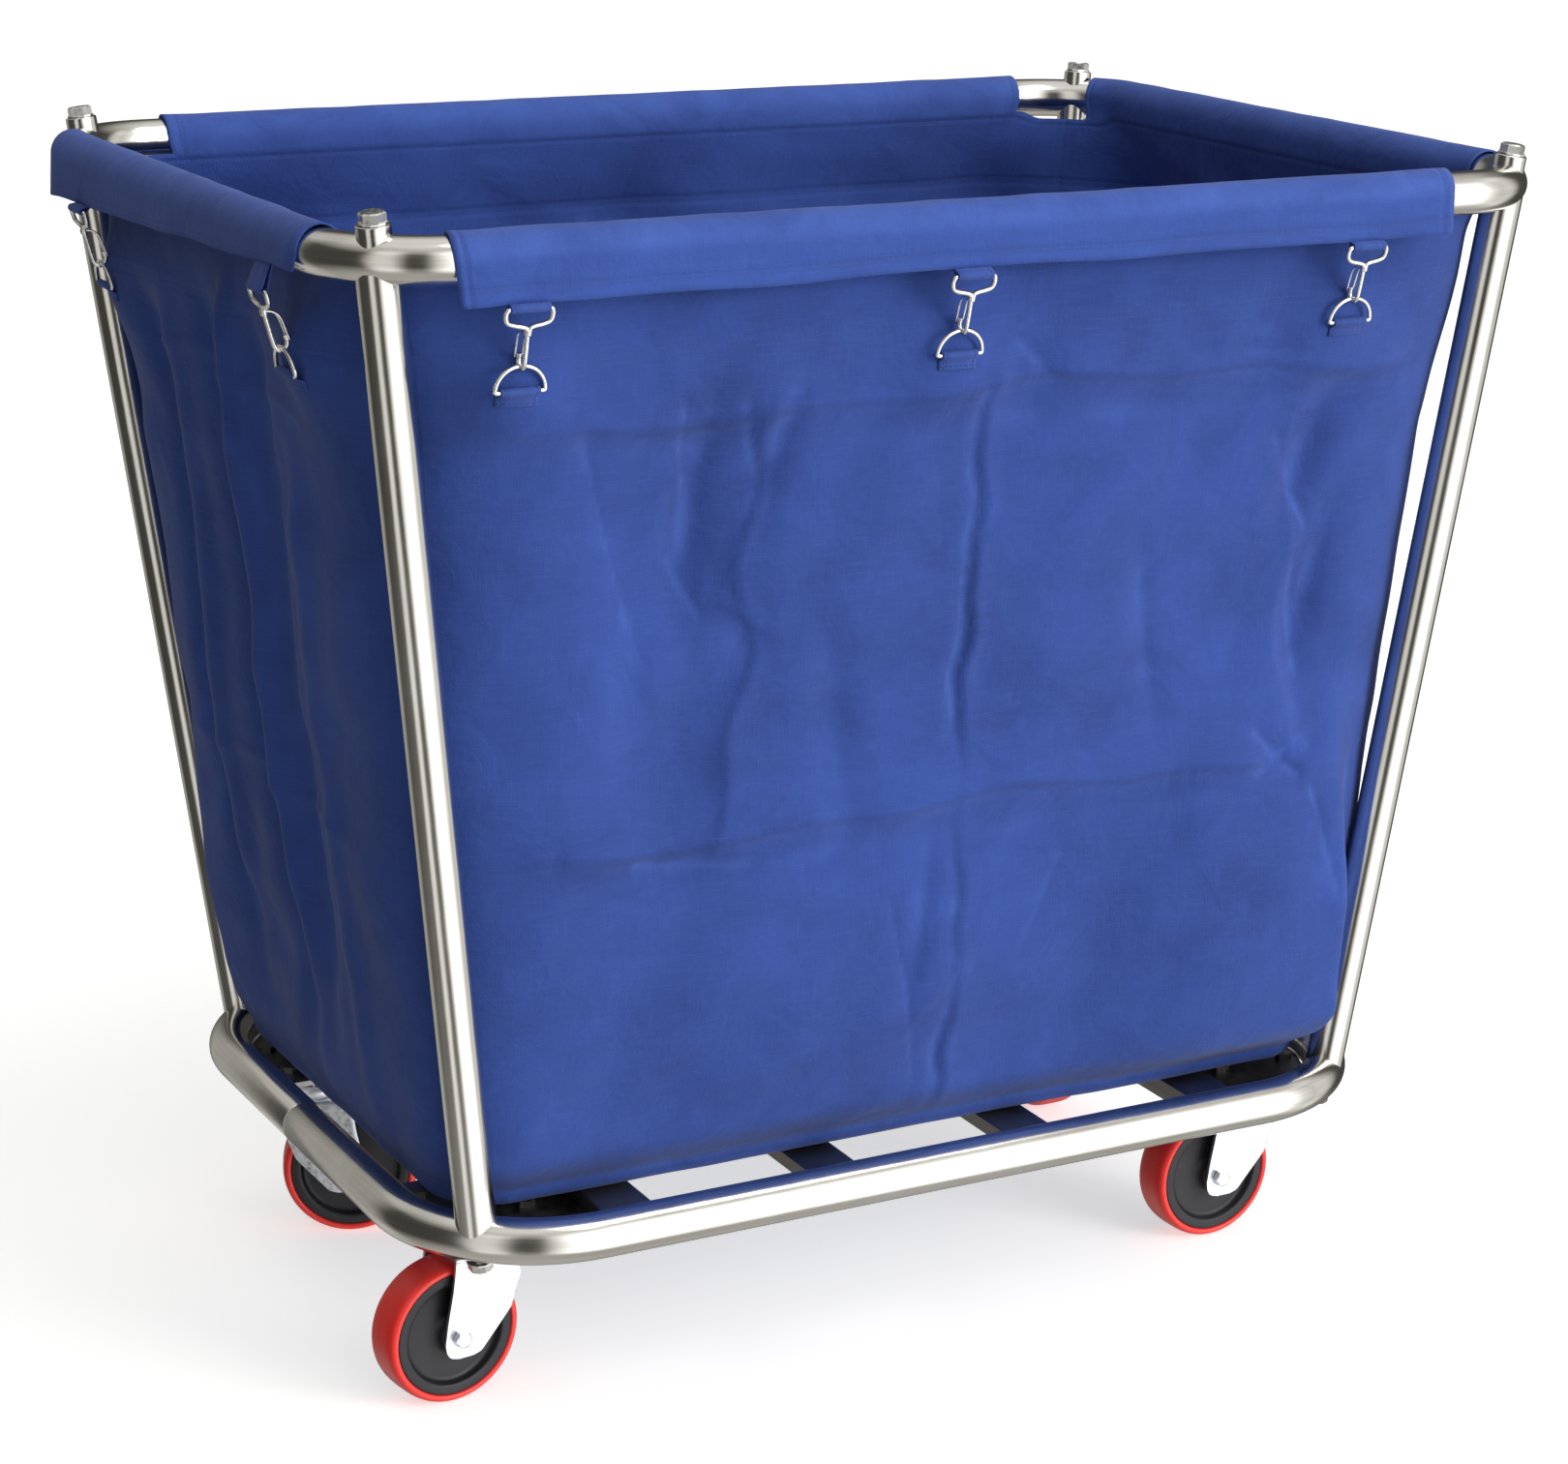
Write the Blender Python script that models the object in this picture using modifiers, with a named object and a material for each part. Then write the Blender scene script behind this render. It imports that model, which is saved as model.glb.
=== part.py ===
# Hotel linen cart: a knock-down stainless tube frame with a flared top ring, a base ring carrying
# cross bars and four swivel casters, and a canvas bag folded over the top ring and clipped down.
# Metres, +Z up, +X along the cart, the front long side faces -Y, floor at Z = 0.
import math

import bmesh
import bpy
from mathutils import Matrix, Vector

# ---- frame ----
TOP_HALF_LENGTH = 0.440
TOP_HALF_WIDTH = 0.306
TOP_HEIGHT = 0.812
TOP_CORNER_RADIUS = 0.075
TOP_TUBE_RADIUS = 0.015
BASE_HALF_LENGTH = 0.374
BASE_HALF_WIDTH = 0.261
BASE_HEIGHT = 0.146
BASE_CORNER_RADIUS = 0.108
BASE_TUBE_RADIUS = 0.016
TUBE_WALL = 0.0014
POST_RADIUS = 0.014
POST_PLUG_LENGTH = 0.050
TRIM_BACK = 0.002
COPE_SHARES = (0.6, 2.4)
SEAM_OFFSET = 0.014
SEAM_GAP = 0.0004
SLEEVE_LENGTH = 0.080
FIT = 0.0003

# ---- cross bars and caster mounting plates ----
BAR_WIDTH = 0.038
BAR_DEPTH = 0.012
BAR_CHAMFER = 0.0012
BAR_POSITIONS = {
    "crossbar_left_end": -0.236,
    "crossbar_left_middle": -0.079,
    "crossbar_right_middle": 0.079,
    "crossbar_right_end": 0.236,
}
MOUNT_PLATE_THICKNESS = 0.004
MOUNT_PLATE_INNER_X = 0.219
MOUNT_PLATE_INNER_Y = 0.106
MOUNT_STUD_HEIGHT = 0.0045
MOUNT_STUD_RADIUS = 0.0065
STUD_OFFSET_X = 0.0285
STUD_OFFSET_Y = 0.0235

# ---- fasteners ----
BOLT_RADIUS = 0.004
BOLT_HOLE_RADIUS = 0.0043
BOLT_REACH = 0.045
HEX_CORNER_RADIUS = 0.0087
HEX_HEIGHT = 0.0072
BOLT_FLANGE = 0.001
BOLT_FLANGE_RADIUS = 0.0095
BOLT_CHAMFER = 0.0009
BOLT_TIP_RADIUS = 0.0032
HEX_CROWN_RADIUS = 0.0071
BOSS_RADIUS = 0.011
BOSS_START = 0.0095
BOSS_TOP = 0.0215

# ---- casters ----
SWIVEL_X = 0.314
SWIVEL_Y = 0.155
TRAIL = 0.025
WHEEL_RADIUS = 0.051
TREAD_INNER_RADIUS = 0.0453
HUB_RADIUS = 0.045
CASTER_PLATE_LENGTH = 0.080
CASTER_PLATE_WIDTH = 0.066
CASTER_PLATE_THICKNESS = 0.003
CASTER_PLATE_CHAMFER = 0.010
KINGPIN_RADIUS = 0.005
KINGPIN_HOLE_RADIUS = 0.0053
KINGPIN_BOTTOM = 0.1092
FORK_OUTER_HALF = 0.0222
FORK_INNER_HALF = 0.0192
FORK_WEB_BOTTOM = 0.1083
FORK_WEB_TOP = 0.1120
RACEWAY_RADIUS = 0.027
RACEWAY_LIP = 0.0235
RACEWAY_ROUNDING = 0.004
FORK_SINK = 0.001
BORE_OVERRUN = 0.004
AXLE_HEAD = 0.005
AXLE_HEX_RADIUS = 0.0066
TREAD_FLAT_HALF = 0.0095
# Half profiles of the wheel: radius, distance from its middle plane.
HUB_HALF = [
    (BOLT_HOLE_RADIUS, 0.0175), (0.0110, 0.0175), (0.0140, 0.0100), (0.0345, 0.0100),
    (0.0375, 0.0148), (HUB_RADIUS, 0.0148),
]
TREAD_HALF = [(TREAD_INNER_RADIUS, 0.0145), (0.0478, 0.0160), (0.0498, 0.0140)]
# Side view of a fork leg: distance along the trail, height.
FORK_LEG = [
    (-0.024, FORK_WEB_TOP), (-0.024, 0.086), (-0.016, 0.064), (0.006, 0.040), (0.012, 0.0360),
    (0.030, 0.0360), (0.036, 0.041), (0.037, 0.048), (0.026, FORK_WEB_TOP),
]
CASTERS = {
    "front_left": (-1, -1, 188.0),
    "front_right": (1, -1, 182.0),
    "rear_left": (-1, 1, -21.0),
    "rear_right": (1, 1, -90.0),
}

# ---- bag ----
CLOTH = 0.002
CLOTH_GAP = 0.0010
RIM_HALF_LENGTH = TOP_HALF_LENGTH - TOP_TUBE_RADIUS - CLOTH_GAP
RIM_HALF_WIDTH = TOP_HALF_WIDTH - TOP_TUBE_RADIUS - CLOTH_GAP
# Height, half length, half width and corner radius, from the floor of the bag up to its rim.
# The sides belly out between the posts, and again below the ring where the D-rings are sewn.
BAG_SECTIONS = [
    (0.1525, 0.344, 0.199, 0.037),
    (0.163, 0.352, 0.208, 0.045),
    (0.190, 0.368, 0.232, 0.090),
    (0.320, 0.384, 0.253, 0.105),
    (0.480, 0.402, 0.267, 0.110),
    (0.640, 0.418, 0.282, 0.115),
    (0.745, 0.434, 0.300, 0.130),
    (0.790, RIM_HALF_LENGTH, RIM_HALF_WIDTH, 0.080),
    (0.803, RIM_HALF_LENGTH, RIM_HALF_WIDTH, 0.072),
]
# Stations of the bag in each quarter: along the end, round the bare corner, along the side.
END_SHARES = (0.0, 0.5, 1.0, 1.1)
BARE_SHARES = (1.35, 1.5, 1.65)
SIDE_SHARES = (1.9, 2.0, 2.35, 2.7, 3.0)
SHARE_GAP = 0.02
FLAP_STEPS = 6
FLAP_HEM = 0.786
LONG_FLAP = (-0.388, 0.346)
SHORT_FLAP = (-0.236, 0.253)

# ---- snap hooks ----
HOOK_WIRE = 0.0016
HOOK_EYE_HALF = 0.0155
HOOK_STANDOFF = 0.0205
HOOK_PIVOT_HEIGHT = 0.784
HOOK_LEAN = math.radians(15.0)
LONG_SIDE_HOOKS = {"left": -0.338, "centre": -0.032, "right": 0.273}
SHORT_SIDE_HOOKS = {"front": -0.192, "rear": 0.172}
# Wire path of a hook: along the panel, away from it, down from the eye bar. The hook opens
# towards the bag.
HOOK_SHAPE = [
    (0.0, -0.0088, 0.0335), (0.0, -0.0094, 0.0375), (0.0, -0.0078, 0.0410),
    (0.0, -0.0042, 0.0427), (0.0, -0.0010, 0.0400), (0.0, 0.0, 0.0365), (0.0, 0.0, 0.0150),
    (-0.0015, 0.0, 0.0125), (-0.0120, 0.0, 0.0105), (-0.0150, 0.0, 0.0080),
    (-HOOK_EYE_HALF, 0.0, 0.0025), (-0.0135, 0.0, 0.0), (0.0135, 0.0, 0.0),
    (HOOK_EYE_HALF, 0.0, 0.0025), (0.0150, 0.0, 0.0080), (0.0120, 0.0, 0.0105),
    (0.0040, 0.0, 0.0122),
]

# ---- fineness ----
ROUND = 20
ROUND_RESOLUTION = (ROUND - 4) // 2
WIRE_RESOLUTION = 1
SMALL_ROUND = 12
CORNER_STEPS = 6
HUB_SIDES = 24
TREAD_SIDES = 28
WELD = 0.00005


def clear_scene():
    for obj in list(bpy.data.objects):
        bpy.data.objects.remove(obj, do_unlink=True)


def new_collection(name):
    collection = bpy.data.collections.new(name)
    bpy.context.scene.collection.children.link(collection)
    return collection


def material(name, colour, metallic, roughness):
    mat = bpy.data.materials.new(name)
    mat.use_nodes = True
    shader = mat.node_tree.nodes["Principled BSDF"]
    shader.inputs["Base Color"].default_value = (*colour, 1.0)
    shader.inputs["Metallic"].default_value = metallic
    shader.inputs["Roughness"].default_value = roughness
    return mat


clear_scene()
CART = new_collection("laundry_cart")
CUTTERS = new_collection("cutters")
FINISHES = {
    "stainless": ((0.62, 0.60, 0.56), 1.0, 0.22),
    "dark_stainless": ((0.30, 0.29, 0.28), 1.0, 0.30),
    "zinc": ((0.74, 0.76, 0.80), 1.0, 0.32),
    "nickel": ((0.80, 0.80, 0.80), 1.0, 0.15),
    "canvas": ((0.045, 0.085, 0.30), 0.0, 0.85),
    "hub": ((0.035, 0.035, 0.042), 0.0, 0.50),
    "tread": ((0.62, 0.02, 0.015), 0.0, 0.35),
}


def own_material(name, finish):
    colour, metallic, roughness = FINISHES[finish]
    return material(name + "_" + finish, colour, metallic, roughness)


def add_object(name, bm, finish, origin=Vector((0, 0, 0)), wound=False):
    """Link a mesh given in world coordinates, with its origin moved to a joint axis."""
    bmesh.ops.translate(bm, verts=bm.verts, vec=-origin)
    if not wound:
        bmesh.ops.recalc_face_normals(bm, faces=bm.faces)
    mesh = bpy.data.meshes.new(name)
    bm.to_mesh(mesh)
    bm.free()
    obj = bpy.data.objects.new(name, mesh)
    obj.location = origin
    obj.data.materials.append(own_material(name, finish))
    CART.objects.link(obj)
    return obj


def add_tool(name, bm):
    bmesh.ops.recalc_face_normals(bm, faces=bm.faces)
    mesh = bpy.data.meshes.new(name)
    bm.to_mesh(mesh)
    bm.free()
    obj = bpy.data.objects.new(name, mesh)
    obj.hide_render = True
    obj.display_type = "WIRE"
    CUTTERS.objects.link(obj)
    return obj


def boolean(obj, tool, operation):
    mod = obj.modifiers.new(operation.lower() + "_" + tool.name, "BOOLEAN")
    mod.operation = operation
    mod.solver = "EXACT"
    mod.object = tool


def skin(rings):
    """A closed body lofted through rings of points."""
    bm = bmesh.new()
    loops = [[bm.verts.new(p) for p in ring] for ring in rings]
    for first, second in zip(loops, loops[1:]):
        bridge(bm, first, second)
    bm.faces.new(loops[0])
    bm.faces.new(loops[-1])
    return bm


def bridge(bm, first, second):
    count = len(first)
    for i in range(count):
        j = (i + 1) % count
        bm.faces.new((first[i], first[j], second[j], second[i]))


def revolve(profile, axis_origin, axis, sides, phase=0.0):
    """A closed profile of (radius, distance along the axis) spun about the axis."""
    side, up, along = frame_about(axis)
    outward = side * math.cos(phase) + up * math.sin(phase)
    bm = bmesh.new()
    verts = [bm.verts.new(axis_origin + along * t + outward * r) for r, t in profile]
    edges = [bm.edges.new(pair) for pair in zip(verts, verts[1:] + verts[:1])]
    bmesh.ops.spin(
        bm, geom=verts + edges, cent=axis_origin, axis=along, angle=math.tau, steps=sides,
        use_merge=True,
    )
    bmesh.ops.remove_doubles(bm, verts=bm.verts, dist=WELD)
    return bm


def frame_about(axis):
    along = Vector(axis).normalized()
    helper = Vector((0, 0, 1)) if abs(along.z) < 0.9 else Vector((1, 0, 0))
    side = helper.cross(along).normalized()
    up = along.cross(side).normalized()
    return side, up, along


def circle(centre, side, up, radius, sides):
    points = []
    for i in range(sides):
        angle = 2 * math.pi * i / sides
        points.append(centre + side * (radius * math.cos(angle)) + up * (radius * math.sin(angle)))
    return points


def hexagon(centre, side, up, corner_radius, sides):
    """A hexagon drawn with the same number of points as a round ring."""
    points = []
    for i in range(sides):
        angle = 2 * math.pi * i / sides
        wedge = math.radians(30) - (angle % math.radians(60))
        reach = corner_radius * math.cos(math.radians(30)) / math.cos(wedge)
        points.append(centre + side * (reach * math.cos(angle)) + up * (reach * math.sin(angle)))
    return points


def cylinder(start, end, radius, sides):
    along = end - start
    turn = along.to_track_quat("Z", "Y").to_matrix().to_4x4()
    bm = bmesh.new()
    bmesh.ops.create_cone(
        bm, cap_ends=True, segments=sides, radius1=radius, radius2=radius,
        depth=along.length, matrix=Matrix.Translation((start + end) / 2) @ turn,
    )
    return bm


def box(low, high):
    low = Vector(low)
    high = Vector(high)
    place = Matrix.Translation((low + high) / 2) @ Matrix.Diagonal((*(high - low), 1.0))
    bm = bmesh.new()
    bmesh.ops.create_cube(bm, size=1.0, matrix=place)
    return bm


def prism(outline, low, high):
    """A flat outline extruded upwards."""
    bm = bmesh.new()
    base = bm.faces.new([bm.verts.new((x, y, low)) for x, y in outline])
    grown = bmesh.ops.extrude_face_region(bm, geom=[base])["geom"]
    top = [item for item in grown if isinstance(item, bmesh.types.BMVert)]
    bmesh.ops.translate(bm, vec=(0, 0, high - low), verts=top)
    return bm


def curve_tube(points, radius, resolution, twist, capped):
    """The welded mesh of a round bevelled curve through the points."""
    curve = bpy.data.curves.new("tube", "CURVE")
    curve.dimensions = "3D"
    curve.twist_mode = twist
    curve.bevel_depth = radius
    curve.bevel_resolution = resolution
    curve.use_fill_caps = capped
    spline = curve.splines.new("POLY")
    spline.points.add(len(points) - 1)
    for spot, point in zip(spline.points, points):
        spot.co = (*point, 1.0)
    carrier = bpy.data.objects.new("tube", curve)
    CART.objects.link(carrier)
    depsgraph = bpy.context.evaluated_depsgraph_get()
    mesh = bpy.data.meshes.new_from_object(carrier.evaluated_get(depsgraph))
    bm = bmesh.new()
    bm.from_mesh(mesh)
    bmesh.ops.remove_doubles(bm, verts=bm.verts, dist=WELD)
    bpy.data.objects.remove(carrier)
    bpy.data.meshes.remove(mesh)
    return bm


# ---------------------------------------------------------------- rings


def rounded_point(half_length, half_width, corner, quarter, share):
    """A point on one quarter of a rounded rectangle.

    The quarter runs from the middle of a short end to the middle of a long side: share 0 to 1
    is the straight end, 1 to 2 the corner arc and 2 to 3 the straight long side.
    """
    flip_x, flip_y = quarter
    if share <= 1:
        point = (half_length, (half_width - corner) * share)
        normal = (1.0, 0.0)
    elif share >= 2:
        point = ((half_length - corner) * (3 - share), half_width)
        normal = (0.0, 1.0)
    else:
        angle = (share - 1) * math.pi / 2
        normal = (math.cos(angle), math.sin(angle))
        point = (
            half_length - corner + corner * normal[0],
            half_width - corner + corner * normal[1],
        )
    return (
        Vector((flip_x * point[0], flip_y * point[1], 0)),
        Vector((flip_x * normal[0], flip_y * normal[1], 0)),
    )


def arc_shares():
    return [1 + i / CORNER_STEPS for i in range(CORNER_STEPS + 1)]


def half_ring_path(half_length, half_width, corner, height, side):
    """Centreline of the front (-1) or rear (+1) half, from the left end to the right end."""
    path = [Vector((-half_length, SEAM_OFFSET + side * SEAM_GAP / 2, 0))]
    for flip_x, shares in ((-1, arc_shares()), (1, reversed(arc_shares()))):
        for share in shares:
            path.append(rounded_point(half_length, half_width, corner, (flip_x, side), share)[0])
    path.append(Vector((half_length, -SEAM_OFFSET + side * SEAM_GAP / 2, 0)))
    return [point + Vector((0, 0, height)) for point in path]


def corner_point(half_length, half_width, corner, height, flip_x, flip_y):
    point, _ = rounded_point(half_length, half_width, corner, (flip_x, flip_y), 1.5)
    return point + Vector((0, 0, height))


def post_ends(flip_x, flip_y):
    base = corner_point(
        BASE_HALF_LENGTH, BASE_HALF_WIDTH, BASE_CORNER_RADIUS, BASE_HEIGHT, flip_x, flip_y
    )
    top = corner_point(TOP_HALF_LENGTH, TOP_HALF_WIDTH, TOP_CORNER_RADIUS, TOP_HEIGHT, flip_x, flip_y)
    return base, top


def corner_name(flip_x, flip_y):
    return ("front" if flip_y < 0 else "rear") + "_" + ("left" if flip_x < 0 else "right")


def build_ring(name, half_length, half_width, corner, height, radius, side, at_top):
    path = half_ring_path(half_length, half_width, corner, height, side)
    tube = curve_tube(path, radius, ROUND_RESOLUTION, "Z_UP", False)
    ring = add_object(name, tube, "stainless")
    wall = ring.modifiers.new("tube_wall", "SOLIDIFY")
    wall.thickness = TUBE_WALL
    wall.offset = -1.0
    for flip_x in (-1, 1):
        base, top = post_ends(flip_x, side)
        along = (top - base).normalized()
        seat = top if at_top else base
        tag = name + "_" + ("left" if flip_x < 0 else "right")
        if at_top:
            boss = cylinder(
                seat + along * BOSS_START, seat + along * BOSS_TOP, BOSS_RADIUS, ROUND
            )
            boolean(ring, add_tool(tag + "_boss", boss), "UNION")
        drill = cylinder(
            seat - along * BOLT_REACH, seat + along * BOLT_REACH, BOLT_HOLE_RADIUS, SMALL_ROUND
        )
        boolean(ring, add_tool(tag + "_drill", drill), "DIFFERENCE")


def build_rings():
    for side, word in ((-1, "front"), (1, "rear")):
        build_ring(
            "top_ring_" + word, TOP_HALF_LENGTH, TOP_HALF_WIDTH, TOP_CORNER_RADIUS,
            TOP_HEIGHT, TOP_TUBE_RADIUS, side, True,
        )
        build_ring(
            "base_ring_" + word, BASE_HALF_LENGTH, BASE_HALF_WIDTH, BASE_CORNER_RADIUS,
            BASE_HEIGHT, BASE_TUBE_RADIUS, side, False,
        )


def build_sleeves():
    """Plugs inside the tube that carry the joint between the two halves of each ring."""
    reach = Vector((0, SLEEVE_LENGTH / 2, 0))
    rings = (
        ("top_ring", TOP_HALF_LENGTH, TOP_HEIGHT, TOP_TUBE_RADIUS),
        ("base_ring", BASE_HALF_LENGTH, BASE_HEIGHT, BASE_TUBE_RADIUS),
    )
    for prefix, half_length, height, radius in rings:
        for flip_x, word in ((-1, "left"), (1, "right")):
            centre = Vector((flip_x * half_length, -flip_x * SEAM_OFFSET, height))
            plug = cylinder(centre - reach, centre + reach, radius - TUBE_WALL - FIT, ROUND)
            add_object(prefix + "_sleeve_" + word, plug, "dark_stainless")


def ring_cutter(name, half_length, half_width, corner, height, radius, flip_x, flip_y):
    """A stretch of ring tube round one corner, a fit larger than the tube itself."""
    shares = [COPE_SHARES[0]] + arc_shares() + [COPE_SHARES[1]]
    path = []
    for share in shares:
        point, _ = rounded_point(half_length, half_width, corner, (flip_x, flip_y), share)
        path.append(point + Vector((0, 0, height)))
    return add_tool(name, curve_tube(path, radius + FIT, ROUND_RESOLUTION, "Z_UP", True))


def build_posts():
    """Straight tubes, plugged and drilled at both ends and coped to sit on the round rings."""
    bore = POST_RADIUS - TUBE_WALL
    for flip_x in (-1, 1):
        for flip_y in (-1, 1):
            tag = corner_name(flip_x, flip_y)
            base, top = post_ends(flip_x, flip_y)
            length = (top - base).length
            profile = [
                (BOLT_HOLE_RADIUS, 0.0),
                (POST_RADIUS, 0.0),
                (POST_RADIUS, length),
                (BOLT_HOLE_RADIUS, length),
                (BOLT_HOLE_RADIUS, length - POST_PLUG_LENGTH),
                (bore, length - POST_PLUG_LENGTH),
                (bore, POST_PLUG_LENGTH),
                (BOLT_HOLE_RADIUS, POST_PLUG_LENGTH),
            ]
            post = add_object(
                "post_" + tag, revolve(profile, base, top - base, ROUND), "stainless"
            )
            upper = ring_cutter(
                "cope_top_" + tag, TOP_HALF_LENGTH, TOP_HALF_WIDTH, TOP_CORNER_RADIUS,
                TOP_HEIGHT, TOP_TUBE_RADIUS, flip_x, flip_y,
            )
            lower = ring_cutter(
                "cope_base_" + tag, BASE_HALF_LENGTH, BASE_HALF_WIDTH, BASE_CORNER_RADIUS,
                BASE_HEIGHT, BASE_TUBE_RADIUS, flip_x, flip_y,
            )
            boolean(post, upper, "DIFFERENCE")
            boolean(post, lower, "DIFFERENCE")
            trim_beyond(post, "trim_top_" + tag, top, top - base)
            trim_beyond(post, "trim_base_" + tag, base, base - top)


def trim_beyond(post, name, centre, direction):
    """Take off the slivers of the coped end that would stand past the ring centreline."""
    along = direction.normalized()
    block = cylinder(
        centre - along * TRIM_BACK, centre + along * BASE_TUBE_RADIUS * 2, POST_RADIUS * 4, 4
    )
    boolean(post, add_tool(name, block), "DIFFERENCE")


# ---------------------------------------------------------------- fasteners


def bolt_body(seat, along, reach):
    """A hex bolt whose flanged head stands on the seat and whose shank runs back along it."""
    side, up, along = frame_about(along)
    top = seat + along * HEX_HEIGHT
    rings = [
        circle(seat - along * reach, side, up, BOLT_TIP_RADIUS, SMALL_ROUND),
        circle(seat - along * (reach - BOLT_CHAMFER), side, up, BOLT_RADIUS, SMALL_ROUND),
        circle(seat, side, up, BOLT_RADIUS, SMALL_ROUND),
        circle(seat, side, up, BOLT_FLANGE_RADIUS, SMALL_ROUND),
        circle(seat + along * BOLT_FLANGE, side, up, BOLT_FLANGE_RADIUS, SMALL_ROUND),
        hexagon(seat + along * (BOLT_FLANGE + FIT), side, up, HEX_CORNER_RADIUS, SMALL_ROUND),
        hexagon(top - along * BOLT_CHAMFER, side, up, HEX_CORNER_RADIUS, SMALL_ROUND),
        circle(top, side, up, HEX_CROWN_RADIUS, SMALL_ROUND),
    ]
    return skin(rings)


def build_frame_bolts():
    for flip_x in (-1, 1):
        for flip_y in (-1, 1):
            tag = corner_name(flip_x, flip_y)
            base, top = post_ends(flip_x, flip_y)
            along = (top - base).normalized()
            upper_seat = top + along * (BOSS_TOP + FIT)
            upper = bolt_body(upper_seat, along, BOLT_REACH + BOSS_TOP)
            add_object("top_bolt_" + tag, upper, "nickel")
            lower_seat = base - along * (BASE_TUBE_RADIUS + 2 * FIT)
            lower = bolt_body(lower_seat, -along, BOLT_REACH + BASE_TUBE_RADIUS)
            add_object("base_bolt_" + tag, lower, "nickel")


# ---------------------------------------------------------------- floor of the frame


def build_crossbars():
    """Flat rectangular tubes let in between the long sides of the base ring."""
    half = BASE_HALF_WIDTH - BASE_TUBE_RADIUS - FIT
    wide = BAR_WIDTH / 2
    deep = BAR_DEPTH / 2
    for name, x in BAR_POSITIONS.items():
        outside = box((x - wide, -half, BASE_HEIGHT - deep), (x + wide, half, BASE_HEIGHT + deep))
        bar = add_object(name, outside, "dark_stainless")
        edges = bar.modifiers.new("rolled_edges", "BEVEL")
        edges.width = BAR_CHAMFER
        edges.segments = 1
        wide_in = wide - TUBE_WALL
        deep_in = deep - TUBE_WALL
        hollow = box(
            (x - wide_in, -half - BAR_DEPTH, BASE_HEIGHT - deep_in),
            (x + wide_in, half + BAR_DEPTH, BASE_HEIGHT + deep_in),
        )
        boolean(bar, add_tool(name + "_hollow", hollow), "DIFFERENCE")


def build_mounting_plates():
    """Corner plates under the end bars; their outline follows the inside of the base ring."""
    top = BASE_HEIGHT - BAR_DEPTH / 2 - FIT
    drop = BASE_HEIGHT - top
    reach = math.sqrt(BASE_TUBE_RADIUS ** 2 - drop ** 2) + FIT
    half_length = BASE_HALF_LENGTH - reach
    half_width = BASE_HALF_WIDTH - reach
    corner = BASE_CORNER_RADIUS - reach
    for flip_x in (-1, 1):
        for flip_y in (-1, 1):
            outline = [(flip_x * half_length, flip_y * MOUNT_PLATE_INNER_Y)]
            for share in arc_shares():
                point, _ = rounded_point(half_length, half_width, corner, (flip_x, flip_y), share)
                outline.append((point.x, point.y))
            outline.append((flip_x * MOUNT_PLATE_INNER_X, flip_y * half_width))
            outline.append((flip_x * MOUNT_PLATE_INNER_X, flip_y * MOUNT_PLATE_INNER_Y))
            plate = add_object(
                "mounting_plate_" + corner_name(flip_x, flip_y),
                prism(outline, top - MOUNT_PLATE_THICKNESS, top),
                "dark_stainless",
            )
            add_studs(plate, top, flip_x, flip_y)


def add_studs(plate, top, flip_x, flip_y):
    """Hex nuts of the caster bolts, standing on the plate."""
    for sign_x in (-1, 1):
        for sign_y in (-1, 1):
            x = flip_x * SWIVEL_X + sign_x * STUD_OFFSET_X
            y = flip_y * SWIVEL_Y + sign_y * STUD_OFFSET_Y
            foot = Vector((x, y, top - MOUNT_PLATE_THICKNESS / 2))
            head = Vector((x, y, top + MOUNT_STUD_HEIGHT))
            tag = plate.name + "_nut_" + str(sign_x + 1) + str(sign_y + 1)
            nut = cylinder(foot, head, MOUNT_STUD_RADIUS, 6)
            boolean(plate, add_tool(tag, nut), "UNION")


# ---------------------------------------------------------------- casters


def build_casters():
    plate_top = (
        BASE_HEIGHT - BAR_DEPTH / 2 - FIT - MOUNT_PLATE_THICKNESS - FIT
    )
    for word, (flip_x, flip_y, degrees) in CASTERS.items():
        swivel = Vector((flip_x * SWIVEL_X, flip_y * SWIVEL_Y, 0))
        tag = "caster_" + word
        build_top_plate(tag, swivel, plate_top)
        turn = Matrix.Translation(swivel) @ Matrix.Rotation(math.radians(degrees), 4, "Z")
        build_fork(tag, turn, swivel, plate_top)
        build_wheel(tag, turn)


def build_top_plate(tag, swivel, plate_top):
    bottom = plate_top - CASTER_PLATE_THICKNESS
    half_x = CASTER_PLATE_LENGTH / 2
    half_y = CASTER_PLATE_WIDTH / 2
    cut = CASTER_PLATE_CHAMFER
    outline = []
    for sx in (-1, 1):
        for sy in (-1, 1):
            outline.append((swivel.x + sx * (half_x - cut), swivel.y + sy * half_y))
            outline.append((swivel.x + sx * half_x, swivel.y + sy * (half_y - cut)))
    plate = add_object(tag + "_top_plate", prism(order_outline(outline), bottom, plate_top), "zinc")
    pin = cylinder(
        Vector((swivel.x, swivel.y, KINGPIN_BOTTOM)),
        Vector((swivel.x, swivel.y, bottom + FORK_SINK)),
        KINGPIN_RADIUS,
        SMALL_ROUND,
    )
    boolean(plate, add_tool(tag + "_kingpin", pin), "UNION")


def order_outline(points):
    """Points of a convex outline put in order round their centre."""
    mid_x = sum(p[0] for p in points) / len(points)
    mid_y = sum(p[1] for p in points) / len(points)
    return sorted(points, key=lambda p: math.atan2(p[1] - mid_y, p[0] - mid_x))


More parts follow.
